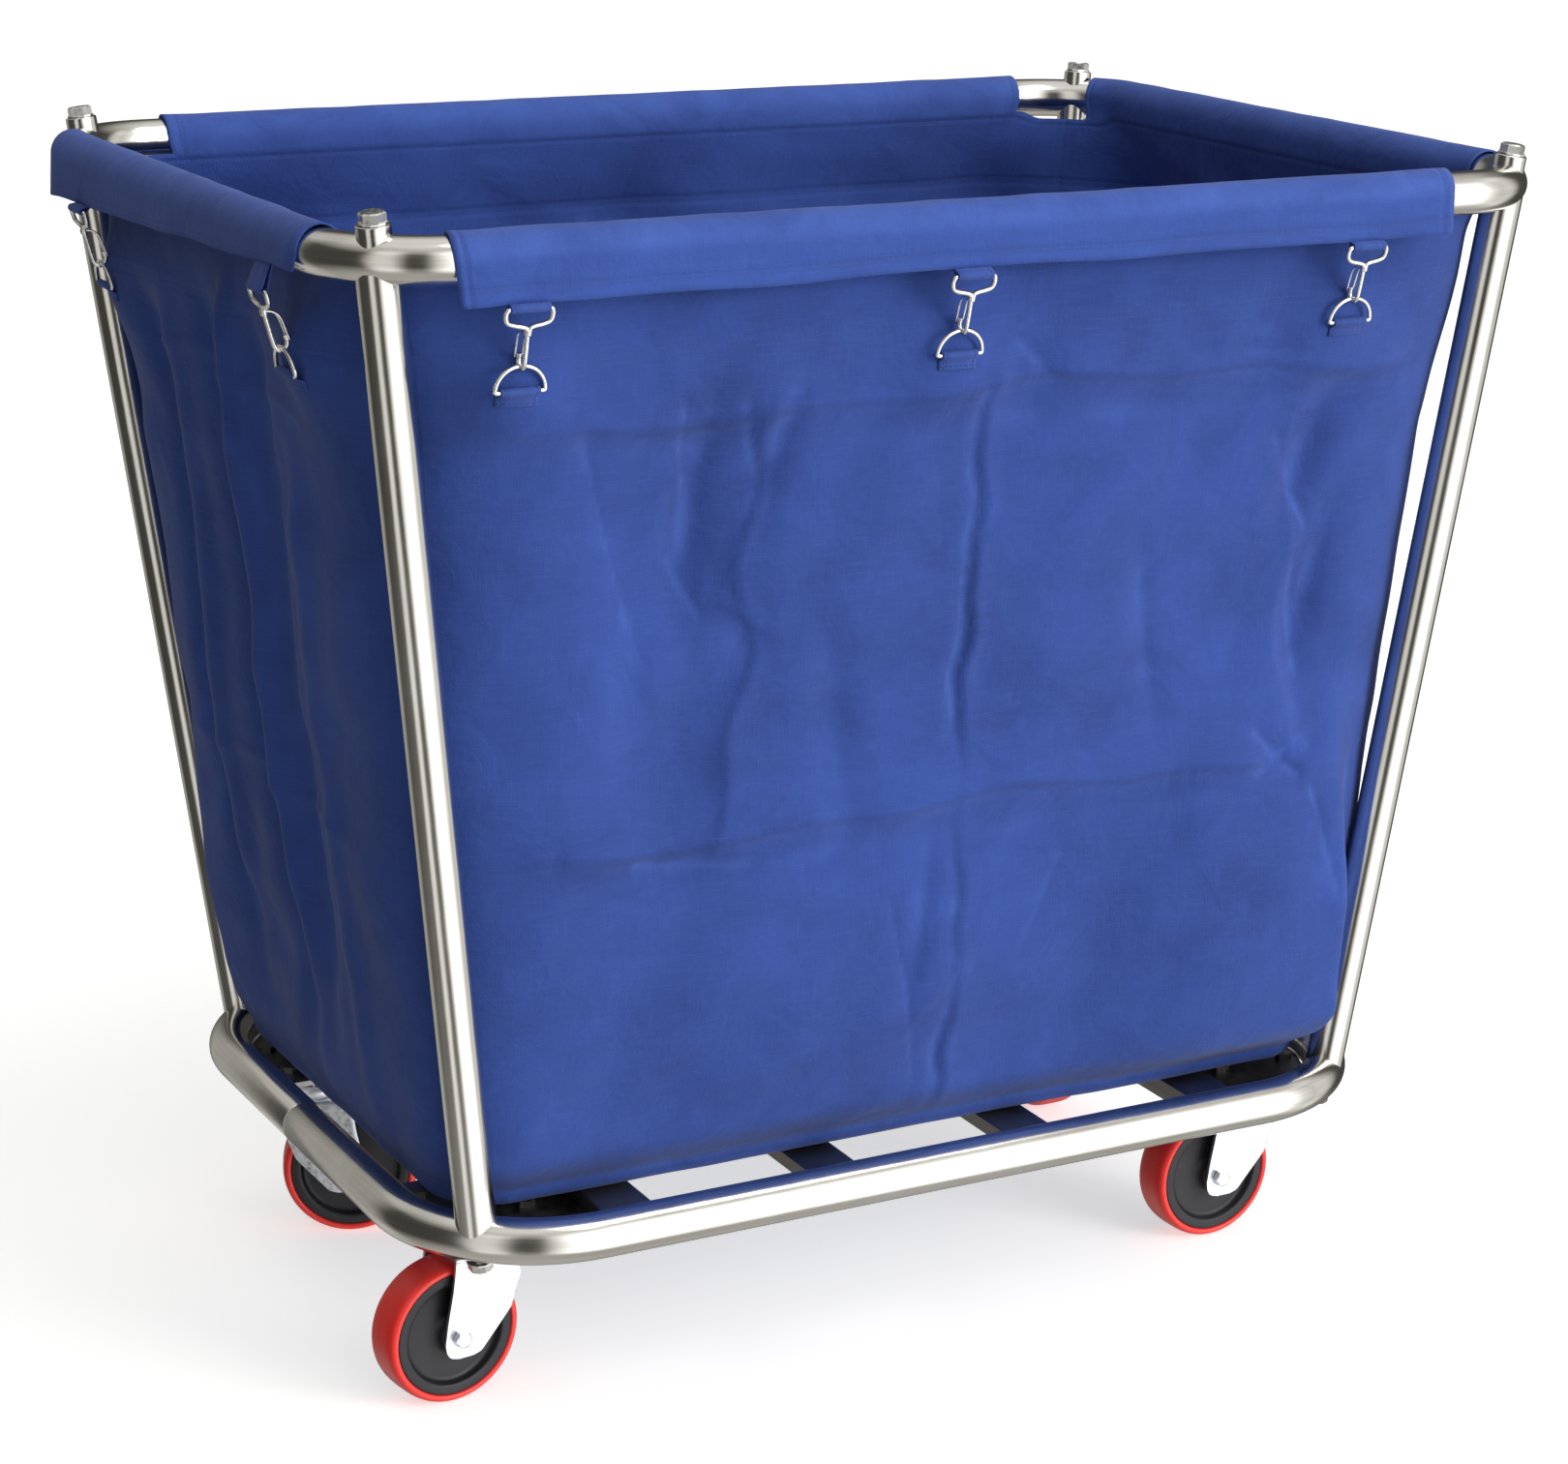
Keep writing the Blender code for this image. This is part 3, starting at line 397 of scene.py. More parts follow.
def canvas(name, rows=(), pitch=0.0011, colour=(0.036, 0.079, 0.328), worn=(0.066, 0.128, 0.450),
           deep_and_shade=(0.021, 0.049, 0.220), thread=(0.036, 0.070, 0.27), relief=1.0):
    """Blue oxford canvas: woven, slightly chalky on its folds, stitched along the given rows, with
    painted shade in the weave's hollows and in the crumple bump's hollows.
    """
    mat, n, shader = new_material(name)
    uv, space = n.uv(), n.object_space()
    weave, u, v = weave_height(n, uv, pitch)
    cloud = n.noise(space, 5.0, 5.0, 0.6, 0.4)
    slub = n.noise(n.scaled(uv, (40.0, 900.0, 1.0)), 1.0, 3.0, 0.6)
    slub2 = n.noise(n.scaled(uv, (900.0, 40.0, 1.0)), 1.0, 3.0, 0.6)
    crumple = n.noise(space, 22.0, 5.0, 0.62, 0.8)
    fold = n.add("ShaderNodeAttribute", attribute_name="wear")
    # Mottling between the darker blue and the main blue: the cloud part is random tone, the
    # crumple part is painted shade, darker where the crumple bump is low.
    tone = n.plus(n.times(cloud, 0.6), n.times(crumple, 0.4))
    base = n.mix(n.ramp(tone, 0.36, 0.64), deep_and_shade, colour)
    base = n.mix(n.times(n.ramp(slub, 0.5, 0.8), 0.30), base, worn)
    base = n.mix(n.times(n.ramp(slub2, 0.5, 0.8), 0.22), base, worn)
    # Painted shade: the weave's low places between thread crossings are darkened.
    base = n.mix(n.times(n.ramp(weave, 0.0, 0.5, 1.0, 0.0), 0.45), base, deep_and_shade)
    chalk = n.times(fold.outputs["Fac"], n.ramp(crumple, 0.35, 0.7, 0.35, 1.0))
    base = n.mix(n.times(chalk, 0.55), base, worn)
    normal = n.bump(n.noise(space, 60.0, 4.0, 0.6, 0.5), 0.16 * relief, 0.004)
    normal = n.bump(crumple, 0.20 * relief, 0.010, normal)
    normal = n.bump(weave, 0.35, 0.0003, normal)
    for axis, place in rows:
        across, along = (u, v) if axis == "u" else (v, u)
        row = stitch_row(n, across, along, place)
        base = n.mix(row, base, thread)
        normal = n.bump(seam_dip(n, across, place), 0.5, 0.0012, normal)
        normal = n.bump(row, 0.6, 0.0006, normal)
    n.fill(shader, {
        "Base Color": base, "Roughness": n.ramp(tone, 0.3, 0.7, 0.74, 0.92), "Normal": normal,
        "Sheen Weight": 0.10, "Sheen Roughness": 0.45, "Specular IOR Level": 0.22})
    return mat


# The webbing's blues are lighter than the canvas's: painted light that makes up for the shadow the
# tabs cast on themselves and for the painted shade in their weave.
WEBBING_BLUE, WEBBING_WORN = (0.044, 0.090, 0.34), (0.070, 0.130, 0.43)
WEBBING_DEEP = (0.030, 0.064, 0.26)
THREAD_BLUE = (0.030, 0.058, 0.23)
STAINLESS = brushed_metal("stainless_tube", (0.83, 0.815, 0.775), (0.70, 0.675, 0.62), 0.17)
# Crossbars, mounting plates and sleeves sit under the bag: their steel is given a dark colour,
# painted shade and a painted reflection of the dark bag.
BAR_STEEL_PAINTED_DARK = brushed_metal("bar_steel_painted_dark", (0.30, 0.29, 0.275), (0.19, 0.18, 0.17), 0.38, bump=0.2)
PLATE_STEEL_PAINTED_DARK = plated("plate_steel_painted_dark", (0.34, 0.33, 0.31), (0.22, 0.21, 0.20), 0.38, 120.0)
ZINC = plated("zinc_plate", (0.80, 0.83, 0.88), (0.62, 0.65, 0.70), 0.30)
NICKEL = plated("nickel_plate", (0.88, 0.87, 0.84), (0.66, 0.65, 0.62), 0.16, 400.0, 0.05)
BOLT_PLATE = plated("bolt_plate", (0.84, 0.83, 0.80), (0.60, 0.59, 0.57), 0.24, 300.0, 0.08)
HUB_PLASTIC = moulded("hub_nylon", (0.011, 0.011, 0.015), (0.040, 0.040, 0.048), 0.50, 0.2, 0.35)
RED_PU = moulded("red_polyurethane", (0.96, 0.040, 0.032), (0.68, 0.07, 0.055), 0.30, 0.1, 0.20)


# ================================================================ frame tubes


def perimeter(a, b, corner, fx, fy, share):
    """Points and outward normals of a rounded rectangle, as in the CAD. A share runs from 0 at the
    middle of an end to 3 at the middle of a long side, in the quarter that fx and fy give."""
    angle = np.clip(share - 1, 0, 1) * np.pi / 2
    x = a - corner + corner * np.cos(angle)
    y = b - corner + corner * np.sin(angle)
    x = np.where(share > 2, (a - corner) * (3 - share), x)
    y = np.where(share < 1, (b - corner) * share, y)
    return fx * x, fy * y, fx * np.cos(angle), fy * np.sin(angle)


def post_axis(fx, fy):
    """Where a post's axis crosses the levels of the base ring and the top ring."""
    ends = []
    for ring in (BASE, TOP):
        x, y, _, _ = perimeter(ring["a"], ring["b"], ring["corner"], fx, fy, 1.5)
        ends.append(np.array([x, y, ring["z"]]))
    return ends


def ring_half(ring, side):
    """Centreline points, normals and tube radii of the front or rear half of a ring."""
    arc = np.linspace(1, 2, 25)
    x, y, nx, ny = perimeter(ring["a"], ring["b"], ring["corner"], np.repeat([-1, 1], 25), side,
                             np.concatenate([arc, arc[::-1]]))
    # Rounded cut ends: three stations from each seam, with how much thinner the tube is there.
    inset, thinner = END_ROUND * np.array([(0.0, 1.0), (0.4, 0.3), (1.0, 0.0)]).T
    lead, tail = (np.stack([np.full(3, fx * ring["a"]),
                            side * (inset + RING_GAP) - fx * SEAM_OFFSET], 1) for fx in (-1, 1))
    path = np.concatenate([lead, np.stack([x, y], 1), tail[::-1]])
    normals = np.concatenate([[(-1.0, 0)] * 3, np.stack([nx, ny], 1), [(1.0, 0)] * 3])
    radii = ring["tube"] - np.concatenate([thinner, 0 * x, thinner[::-1]])
    level = np.full(len(path), ring["z"])
    return np.column_stack([path, level]), np.column_stack([normals, 0 * level]), radii


def build_rings():
    for word, side in (("front", -1), ("rear", 1)):
        for label, ring in (("top_ring", TOP), ("base_ring", BASE)):
            shell = Shell()
            path, normals, radii = ring_half(ring, side)
            tube(shell, path, normals, np.array([0, 0, 1.0]), radii, 56)
            for fx in (-1, 1):
                base, top = post_axis(fx, side)
                along = unit(top - base)
                if label == "top_ring":
                    profile = rounded_profile(
                        [(0.0042, 0.004), (BOSS_RADIUS + 0.0012, 0.004), (BOSS_RADIUS, 0.0125),
                         (BOSS_RADIUS, BOSS_TOP), (0.0042, BOSS_TOP)], 0.0012)
                    lathe(shell, profile, top, along, 48)
            name = label + "_" + word
            obj = shell.object(name + "_tube", [STAINLESS], "cart_frame", "stainless", [name])
            finish_tube(obj)


def finish_tube(obj):
    """Smooth round the tube but keep its cut ends and shoulders crisp."""
    modifier(obj, "EDGE_SPLIT", split_angle=math.radians(50))


def build_posts():
    for fx in (-1, 1):
        for fy in (-1, 1):
            tag = ("front" if fy < 0 else "rear") + "_" + ("left" if fx < 0 else "right")
            base, top = post_axis(fx, fy)
            along = unit(top - base)
            side = unit(np.cross([0, 0, 1.0], along))
            up = np.cross(along, side)
            length = np.linalg.norm(top - base)
            stops = np.linspace(0.006, length - 0.006, 12)
            path = base + along * stops[:, None]
            shell = Shell()
            tube(shell, path, side, up, POST_RADIUS, 56)
            obj = shell.object("post_" + tag + "_tube", [STAINLESS], "cart_frame", "stainless",
                               ["post_" + tag])
            finish_tube(obj)


build_rings()
build_posts()

# ================================================================ casters


def fork_widths(z):
    """How far a fork leg reaches along the trail at each height."""
    heights = np.array([0.0355, 0.0362, 0.038, 0.042, 0.048, 0.064, 0.086, 0.112])
    low = np.array([0.0150, 0.0110, 0.0080, 0.0045, -0.0010, -0.0155, -0.0238, -0.0245])
    high = np.array([0.0270, 0.0310, 0.0340, 0.0362, 0.0370, 0.0345, 0.0300, 0.0265])
    return np.interp(z, heights, low), np.interp(z, heights, high)


def build_fork(tag, turn, plate_bottom):
    mid = 0.0207
    bend = 0.0045
    top = 0.1103
    leg = np.concatenate([np.linspace(0.0355, 0.048, 9), np.linspace(0.052, top - bend, 18)])
    path = [(-mid, z) for z in leg]
    for t in np.linspace(0, np.pi / 2, 7)[1:]:
        path.append((-mid + bend * (1 - np.cos(t)), top - bend + bend * np.sin(t)))
    path += [(y, top) for y in np.linspace(-mid + bend, mid - bend, 9)[1:]]
    for t in np.linspace(np.pi / 2, 0, 7)[1:]:
        path.append((mid - bend * (1 - np.cos(t)), top - bend + bend * np.sin(t)))
    path += [(mid, z) for z in leg[::-1]]
    path = np.array(path)
    low, high = fork_widths(path[:, 1])
    share = np.linspace(0, 1, 17)
    u = low[:, None] + (high - low)[:, None] * share
    points = np.stack([u, np.broadcast_to(path[:, :1], u.shape),
                       np.broadcast_to(path[:, 1:], u.shape)], -1)
    along = lengths(np.column_stack([path, path[:, 0] * 0]))
    uv = np.stack([u, np.broadcast_to(along[:, None], u.shape)], -1)
    shell = Shell()
    shell.grid(transform(turn, points), uv)
    yoke = shell.object(tag + "_yoke", [ZINC], tag + "_swivel", "zinc_caster", [tag + "_fork"])
    modifier(yoke, "SOLIDIFY", thickness=0.0028, offset=0.0)
    bevel(yoke, 0.0006, 50)

    races, balls = Shell(), Shell()
    swivel = transform(turn, np.zeros(3))
    up = np.array([0, 0, 1.0])
    lower = [(0.006, 0.1110), (0.0215, 0.1110), (0.0262, 0.1150), (0.0272, 0.1190),
             (0.0262, 0.1222), (0.0225, 0.1232), (0.006, 0.1232)]
    upper = [(0.006, 0.1238), (0.0228, 0.1238), (0.0250, 0.1252), (0.0250, 0.1282),
             (0.0215, 0.1300), (0.006, plate_bottom - 0.0004)]
    rivet = [(0.0015, 0.1050), (0.0072, 0.1056), (0.0085, 0.1072), (0.0085, 0.1086),
             (0.0015, 0.1086)]
    for profile, corner, sides in ((lower, 0.0012, 64), (upper, 0.0010, 64), (rivet, 0.0008, 32)):
        lathe(races, rounded_profile(profile, corner), swivel, up, sides)
    races.object(tag + "_swivel_races", [ZINC], tag + "_swivel", "zinc_caster")
    ball = [(0.0011 * math.sin(t) + 0.00001, -0.0011 * math.cos(t))
            for t in np.linspace(0.05, math.pi - 0.05, 7)]
    for k in range(16):
        a = 2 * math.pi * k / 16
        centre = swivel + np.array([0.0225 * math.cos(a), 0.0225 * math.sin(a), 0.1235])
        lathe(balls, ball, centre, up, 10)
    balls.object(tag + "_swivel_balls", [NICKEL], tag + "_swivel", "zinc_caster")


def transform(turn, points):
    matrix = np.array(turn, float)
    return points @ matrix[:3, :3].T + matrix[:3, 3]


def build_wheel(tag, turn):
    centre = transform(turn, np.array([TRAIL, 0, WHEEL_RADIUS]))
    axis = transform(turn, np.array([TRAIL, 1.0, WHEEL_RADIUS])) - centre
    half = [(0.0043, 0.0176), (0.0098, 0.0176), (0.0112, 0.0166), (0.0124, 0.0118),
            (0.0150, 0.0100), (0.0335, 0.0092), (0.0358, 0.0104), (0.0372, 0.0146),
            (0.0388, 0.0152), (0.0430, 0.0152), (0.0449, 0.0146)]
    profile = half + [(r, -t) for r, t in half[::-1]]
    hub = Shell()
    lathe(hub, rounded_profile(profile, 0.0010, 3), centre, axis, 96)
    obj = hub.object(tag + "_hub_moulding", [HUB_PLASTIC], tag + "_wheel", "wheel_hub",
                     [tag + "_hub"])
    finish_tube(obj)
    ring = [(0.0446, 0.0138), (0.0452, 0.0156), (0.0468, 0.0161), (0.0488, 0.0152),
            (0.0502, 0.0128), (0.0508, 0.0095), (0.0510, 0.0050)]
    profile = ring + [(r, -t) for r, t in ring[::-1]]
    tread = Shell()
    lathe(tread, rounded_profile(profile, 0.0012, 4), centre, axis, 128)
    tread.object(tag + "_tread_ring", [RED_PU], tag + "_wheel", "wheel_tread", [tag + "_tread"])
    cap = Shell()
    for sign in (-1, 1):
        washer = [(0.0046, 0.0178), (0.0088, 0.0178), (0.0088, 0.0188), (0.0046, 0.0188)]
        lathe(cap, rounded_profile([(r, t * sign) for r, t in washer], 0.0003), centre, axis, 36)
    cap.object(tag + "_spacer_washers", [ZINC], tag + "_swivel", "zinc_caster")


def build_casters():
    plate_bottom = BASE["z"] - 0.006 - 0.0003 - 0.004 - 0.0003 - 0.003
    for word, (fx, fy, degrees) in CASTERS.items():
        tag = "caster_" + word
        swivel = Vector((fx * SWIVEL_X, fy * SWIVEL_Y, 0))
        turn = Matrix.Translation(swivel) @ Matrix.Rotation(math.radians(degrees), 4, "Z")
        build_fork(tag, turn, plate_bottom)
        build_wheel(tag, turn)


build_casters()

# ================================================================ canvas bag

# Height, half length, half width and corner radius of the bag's outside, as in the CAD, with
# fuller lower corners: loose cloth swells there on both sides of each post.
BAG_SECTIONS = np.array([
    (0.163, 0.352, 0.208, 0.045), (0.190, 0.366, 0.236, 0.066), (0.320, 0.384, 0.256, 0.092),
    (0.480, 0.402, 0.267, 0.108), (0.640, 0.416, 0.280, 0.112), (0.745, 0.432, 0.299, 0.125),
    (0.780, 0.427, 0.293, 0.095), (0.803, 0.424, 0.290, 0.062),
])
TURN_Z, RIM_Z, HEM_Z = 0.163, 0.803, 0.786
BAND_Z = 0.745
ARCH = TOP["tube"] + 0.0014
# Radius of the bag's bottom edge, height of the D-rings' pull and rows in a flap's outer drop.
EDGE_TURN, PULL_Z, DROP_ROWS = 0.0118, 0.7295, 8
CROSSBARS_X = np.array([[-0.236, -0.079, 0.079, 0.236]])
FAR_OFF = 9.0
# Reach of each flap along its side: from, to, rise of the hem at each end.
FLAPS = {
    FRONT: (-0.382, 0.348, 0.000, 0.002),
    REAR: (-0.354, 0.368, 0.001, 0.000),
    LEFT: (-0.246, 0.250, 0.015, -0.002),
    RIGHT: (-0.236, 0.272, 0.003, 0.002),
}


def smooth(value, low, high):
    t = np.clip((value - low) / (high - low), 0, 1)
    return t * t * (3 - 2 * t)


def bump_at(value, place, width):
    return np.exp(-(((value - place) / width) ** 2))


def section_table():
    """Section sizes against height, with the joins between stretches rounded off."""
    z = np.arange(TURN_Z, RIM_Z + 0.0001, 0.002)
    table = np.stack([np.interp(z, BAG_SECTIONS[:, 0], BAG_SECTIONS[:, k]) for k in (1, 2, 3)], 1)
    kernel = np.exp(-(np.linspace(-2, 2, 15) ** 2))
    kernel /= kernel.sum()
    padded = np.concatenate([np.repeat(table[:1], 7, 0), table, np.repeat(table[-1:], 7, 0)])
    rounded = np.stack([np.convolve(padded[:, k], kernel, "valid") for k in range(3)], 1)
    edge = smooth(z, TURN_Z, TURN_Z + 0.02) * (1 - smooth(z, RIM_Z - 0.02, RIM_Z))
    return z, table + (rounded - table) * edge[:, None]


SECTION_Z, SECTION_ABR = section_table()


def section(z):
    a, b, corner = (np.interp(z, SECTION_Z, SECTION_ABR[:, k]) for k in range(3))
    return a - CLOTH / 2, b - CLOTH / 2, corner - CLOTH / 2


def flap_share(side, place):
    """Quarter and share of a place along one side of the top ring."""
    on_end, sign = side in (LEFT, RIGHT), 1 if place > 0 else -1
    straight = (TOP["b"] if on_end else TOP["a"]) - TOP["corner"]
    share = abs(place) / straight
    if share > 1:
        share = 1 + math.asin((abs(place) - straight) / TOP["corner"]) / (math.pi / 2)
    if on_end:
        return 1 if side == RIGHT else -1, sign, share
    return sign, 1 if side == REAR else -1, 3 - share


def ring_columns():
    """Stations round the bag, anticlockwise from the middle of the right end."""
    ends = {}
    for side, (low, high, _, _) in FLAPS.items():
        for place in (low, high):
            fx, fy, share = flap_share(side, place)
            ends.setdefault((fx, fy), []).append(share)
    columns = []
    for fx, fy, backwards in ((1, 1, False), (-1, 1, True), (-1, -1, False), (1, -1, True)):
        shares = np.concatenate([
            np.linspace(0, 1, 48, endpoint=False), np.linspace(1, 2, 34, endpoint=False),
            np.linspace(2, 3, 104, endpoint=False), [3.0],
        ])
        for share in ends.get((fx, fy), []):
            shares[np.argmin(np.abs(shares - share))] = share
        quarter = [(fx, fy, s) for s in np.sort(shares)]
        if backwards:
            quarter.reverse()
        columns.extend(quarter[:-1])
    return np.array(columns)


def place_along(columns):
    """Which side each column is on and how far along it, in the top ring's measure."""
    fx, fy, share = columns.T
    x, y = perimeter(TOP["a"], TOP["b"], TOP["corner"], fx, fy, share)[:2]
    on_long = share >= 1.5
    side = np.where(on_long, np.where(fy > 0, REAR, FRONT), np.where(fx > 0, RIGHT, LEFT))
    return side, np.where(on_long, x, y)


def crumple(u, z, seed, size, amount):
    """Smooth seeded undulation over the cloth: a sum of random waves of about one size."""
    draw = np.random.default_rng(seed)
    total = np.zeros(np.broadcast(u, z).shape)
    for _ in range(14):
        angle = draw.uniform(0, 2 * np.pi)
        length = size * draw.uniform(0.7, 1.6)
        phase = draw.uniform(0, 2 * np.pi)
        total += np.sin((u * np.cos(angle) + z * np.sin(angle)) * 2 * np.pi / length + phase)
    return total * amount / np.sqrt(14)


def sharp_fold(distance, width):
    """Cross-section of a pressed-in crease: a crisp crest, steeper on its lower side."""
    return np.exp(-np.abs(distance) / np.where(distance < 0, width * 0.6, width * 1.3))


def short_crease(x, z, start, end, width):
    """A crisp ridge along a short line, dying away at both ends."""
    dx, dz = end[0] - start[0], end[1] - start[1]
    reach = math.hypot(dx, dz)
    along = ((x - start[0]) * dx + (z - start[1]) * dz) / reach
    aside = ((x - start[0]) * dz - (z - start[1]) * dx) / reach
    taper = smooth(along, -0.008, 0.012) * smooth(along, reach + 0.008, reach - 0.012)
    return taper * np.exp(-np.abs(aside) / width)


# Short pressed creases on the two long panels, in millimetres: from, to, height, width.
CREASES = [
    (290, 436, 338, 398, -7.5, 6), (300, 400, 345, 420, 4.5, 6), (280, 655, 335, 575, -4.5, 6),
    (322, 560, 345, 470, -5, 7), (205, 722, 300, 716, 3.5, 6), (350, 390, 372, 300, -4, 6),
    (-262, 715, -248, 640, -4.2, 5.5), (-210, 712, -190, 655, -4.2, 5.5),
    (-268, 610, -235, 560, -4.8, 6.5), (-225, 575, -170, 548, 3.6, 6),
    (-300, 400, -190, 388, -4.2, 6), (-345, 700, -300, 560, -3.4, 9), (20, 735, 60, 705, -5, 5.5),
    (10, 712, -35, 735, 3.6, 5.5), (110, 370, 70, 300, -2.6, 7), (-60, 350, -20, 200, -3, 7),
    (14, 300, -45, 240, 2.6, 6), (180, 310, 300, 290, 2.4, 8),
]

# Dents and swellings on the two long panels: x, z, half width, half height and how far out
# in millimetres, then sideways lean.
DENTS = [
    (-245, 640, 16, 70, -7.5, 0.12), (-180, 670, 14, 50, -6, 0.25),
    (-205, 560, 26, 45, -6.5, -0.2), (-300, 560, 22, 120, -6, 0.05), (-255, 395, 40, 22, -5, 0.3),
    (-90, 630, 50, 90, 4, 0.1), (120, 600, 60, 110, 5, -0.1), (315, 625, 20, 45, -10, 0.2),
    (345, 530, 18, 60, -8, 0.1), (318, 412, 26, 14, -11, 0.45), (60, 300, 90, 70, 5, 0.0),
    (-150, 270, 80, 70, 6, 0.1), (230, 250, 60, 80, 7, 0.0), (-30, 330, 12, 60, -3.5, 0.15),
    (175, 520, 14, 70, -4, -0.25), (-120, 480, 18, 80, -4, -0.15),
]

# Long soft folds down the two end panels: y, tilt, half width, how far out, top, bottom.
FOLDS = [
    (-0.052, 0.03, 0.016, 0.011, 0.785, 0.28), (0.02, -0.05, 0.03, -0.009, 0.78, 0.2),
    (-0.11, 0.05, 0.026, -0.01, 0.78, 0.25), (0.1, 0.04, 0.022, 0.007, 0.77, 0.3),
    (0.165, -0.03, 0.02, -0.007, 0.76, 0.25), (-0.18, 0.02, 0.018, 0.005, 0.7, 0.2),
]

def panel_relief(side, t, z, u):
    """How far each panel stands out or in, in metres."""
    relief = np.zeros(np.broadcast(t, z).shape)
    wander = 0.006 * np.sin(t * 9 + 1.0) + 0.003 * np.sin(t * 31)
    for panel, flip in ((FRONT, 1), (REAR, -1)):
        on = (side == panel) * 1.0
        x = t * flip
        across = smooth(np.abs(x), 0.42, 0.33)
        fold = sharp_fold(z - 0.703 - wander, 0.011)
        relief += on * across * (0.0062 * fold - 0.0034 * bump_at(z, 0.676, 0.016))
        fold = sharp_fold(z - 0.415 - wander, 0.012)
        relief += on * across * (0.0070 * fold - 0.0030 * bump_at(z, 0.388, 0.016))
        crease = 0.006 + 0.010 * smooth(z, 0.45, 0.17) + 0.003 * np.sin(z * 23)
        crease = crease + 0.0022 * np.sin(z * 71 + 1.3) + 0.0012 * np.sin(z * 133)
        press = 0.50 + 0.35 * np.sin(z * 17 - 1.6) + 0.25 * np.sin(z * 39 + 0.4)
        down = smooth(z, 0.76, 0.70) * smooth(z, 0.16, 0.24)
        relief += on * down * press * (0.0042 * np.exp(-np.abs(x - crease) / 0.0065)
                                       - 0.0050 * bump_at(x, crease - 0.011, 0.0075))
        crest = -0.185 - 0.12 * (0.70 - z) + 0.006 * np.sin(z * 61) + 0.005 * np.sin(z * 37 + 1)
        behind = np.maximum(crest - x, 0)
        valley = np.exp(-((np.maximum(behind - 0.045, 0) / 0.045) ** 2))
        valley = (1 - np.exp(-behind / 0.020)) * valley
        relief -= on * 0.0125 * valley * smooth(z, 0.735, 0.680) * smooth(z, 0.36, 0.46)
        behind = np.maximum(x - 0.318 - 0.10 * (0.5 - z) - 0.006 * np.sin(z * 47), 0)
        recess = (1 - np.exp(-behind / 0.014)) * smooth(z, 0.70, 0.60) * smooth(z, 0.36, 0.44)
        relief -= on * 0.0075 * recess
        for *sizes, lean in DENTS:
            cx, cz, wx, wz, depth = np.array(sizes) / 1000
            dx = x - cx - lean * (z - cz)
            relief += on * depth * np.exp(-((dx / wx) ** 2) - ((z - cz) / wz) ** 2)
        for crease_sizes in CREASES:
            *line, height, width = np.array(crease_sizes) / 1000
            relief += on * 0.7 * height * short_crease(x, z, line[:2], line[2:], 1.3 * width)
    for panel, flip in ((LEFT, 1), (RIGHT, -1)):
        on = (side == panel) * 1.0
        y = t * flip
        for cy, tilt, width, height, top, bottom in FOLDS:
            down = smooth(z, top, top - 0.06) * smooth(z, bottom - 0.06, bottom + 0.08)
            relief += on * down * height * bump_at(y, cy + tilt * (0.785 - z), width)
        across = on * smooth(np.abs(y), 0.25, 0.19)
        relief += across * 0.0032 * sharp_fold(z - 0.700 - wander, 0.011)
        relief += across * 0.0036 * sharp_fold(z - 0.412 - wander, 0.012)
    body = smooth(z, RIM_Z, 0.74) * smooth(z, TURN_Z, 0.22)
    relief += body * crumple(u, z * 1.3, 3, 0.26, 0.0030)
    relief += body * crumple(u, z, 5, 0.095, 0.0013)
    relief += smooth(z, RIM_Z, 0.77) * crumple(u, z, 9, 0.042, 0.00045)
    # The band at the top is a second layer with a step at its lower edge.
    # The bottom seam stands out.
    relief += 0.0006 * smooth(z, BAND_Z - 0.0015, BAND_Z + 0.0015)
    relief += 0.0010 * bump_at(z, TURN_Z + 0.003, 0.003)
    return relief


def keep_off_posts(x, y, z, gap):
    """Push cloth that would touch a post straight away from the post's axis."""
    for fx in (-1, 1):
        for fy in (-1, 1):
            base, top = post_axis(fx, fy)
            share = (z - BASE["z"]) / (TOP["z"] - BASE["z"])
            dx = x - (base[0] + (top[0] - base[0]) * share)
            dy = y - (base[1] + (top[1] - base[1]) * share)
            inside = dx * fx + dy * fy
            far = np.hypot(dx, dy)
            need = POST_RADIUS + gap
            near = far < need
            away_x = np.where(inside > 0, -fx * 0.707, dx / np.maximum(far, 1e-6))
            away_y = np.where(inside > 0, -fy * 0.707, dy / np.maximum(far, 1e-6))
            push = np.where(near, need - far, 0.0)
            x = x + away_x * push
            y = y + away_y * push
    return x, y


def wall_depth(side, place, heights):
    """How far out the middle of the bag's cloth is at a place along one side."""
    across, out = (0, 1) if side in (FRONT, REAR) else (1, 0)
    points = BAG["wall"][BAG["side"] == side]
    points = points[np.argsort(points[:, 100, across])]
    depth = [np.interp(place, points[:, k, across], np.abs(points[:, k, out]))
             for k in range(points.shape[1])]
    return np.interp(heights, points[0, :, 2], depth)


def ring_pulls(side, x, y, z):
    """How far the hooks' rings draw the wall out, with the hollows this leaves beside them."""
    pulls = 0.0
    for _, clip_side, place in HOOKS:
        on_long = clip_side in (FRONT, REAR)
        ring = (TOP["b"] if on_long else TOP["a"]) - 0.0008
        pull = np.clip(ring - wall_depth(clip_side, place, PULL_Z), 0.0, 0.02)
        across = np.where(side == clip_side, (x if on_long else y) - place, FAR_OFF)
        pulls = pulls + pull * np.exp(-((across / 0.034) ** 2) - ((z - PULL_Z) / 0.032) ** 2)
        beside = np.exp(-((np.abs(across) - 0.062) / 0.028) ** 2 - ((z - 0.700) / 0.040) ** 2)
        pulls = pulls - 0.003 * beside * (np.abs(across) < 1)
    return pulls


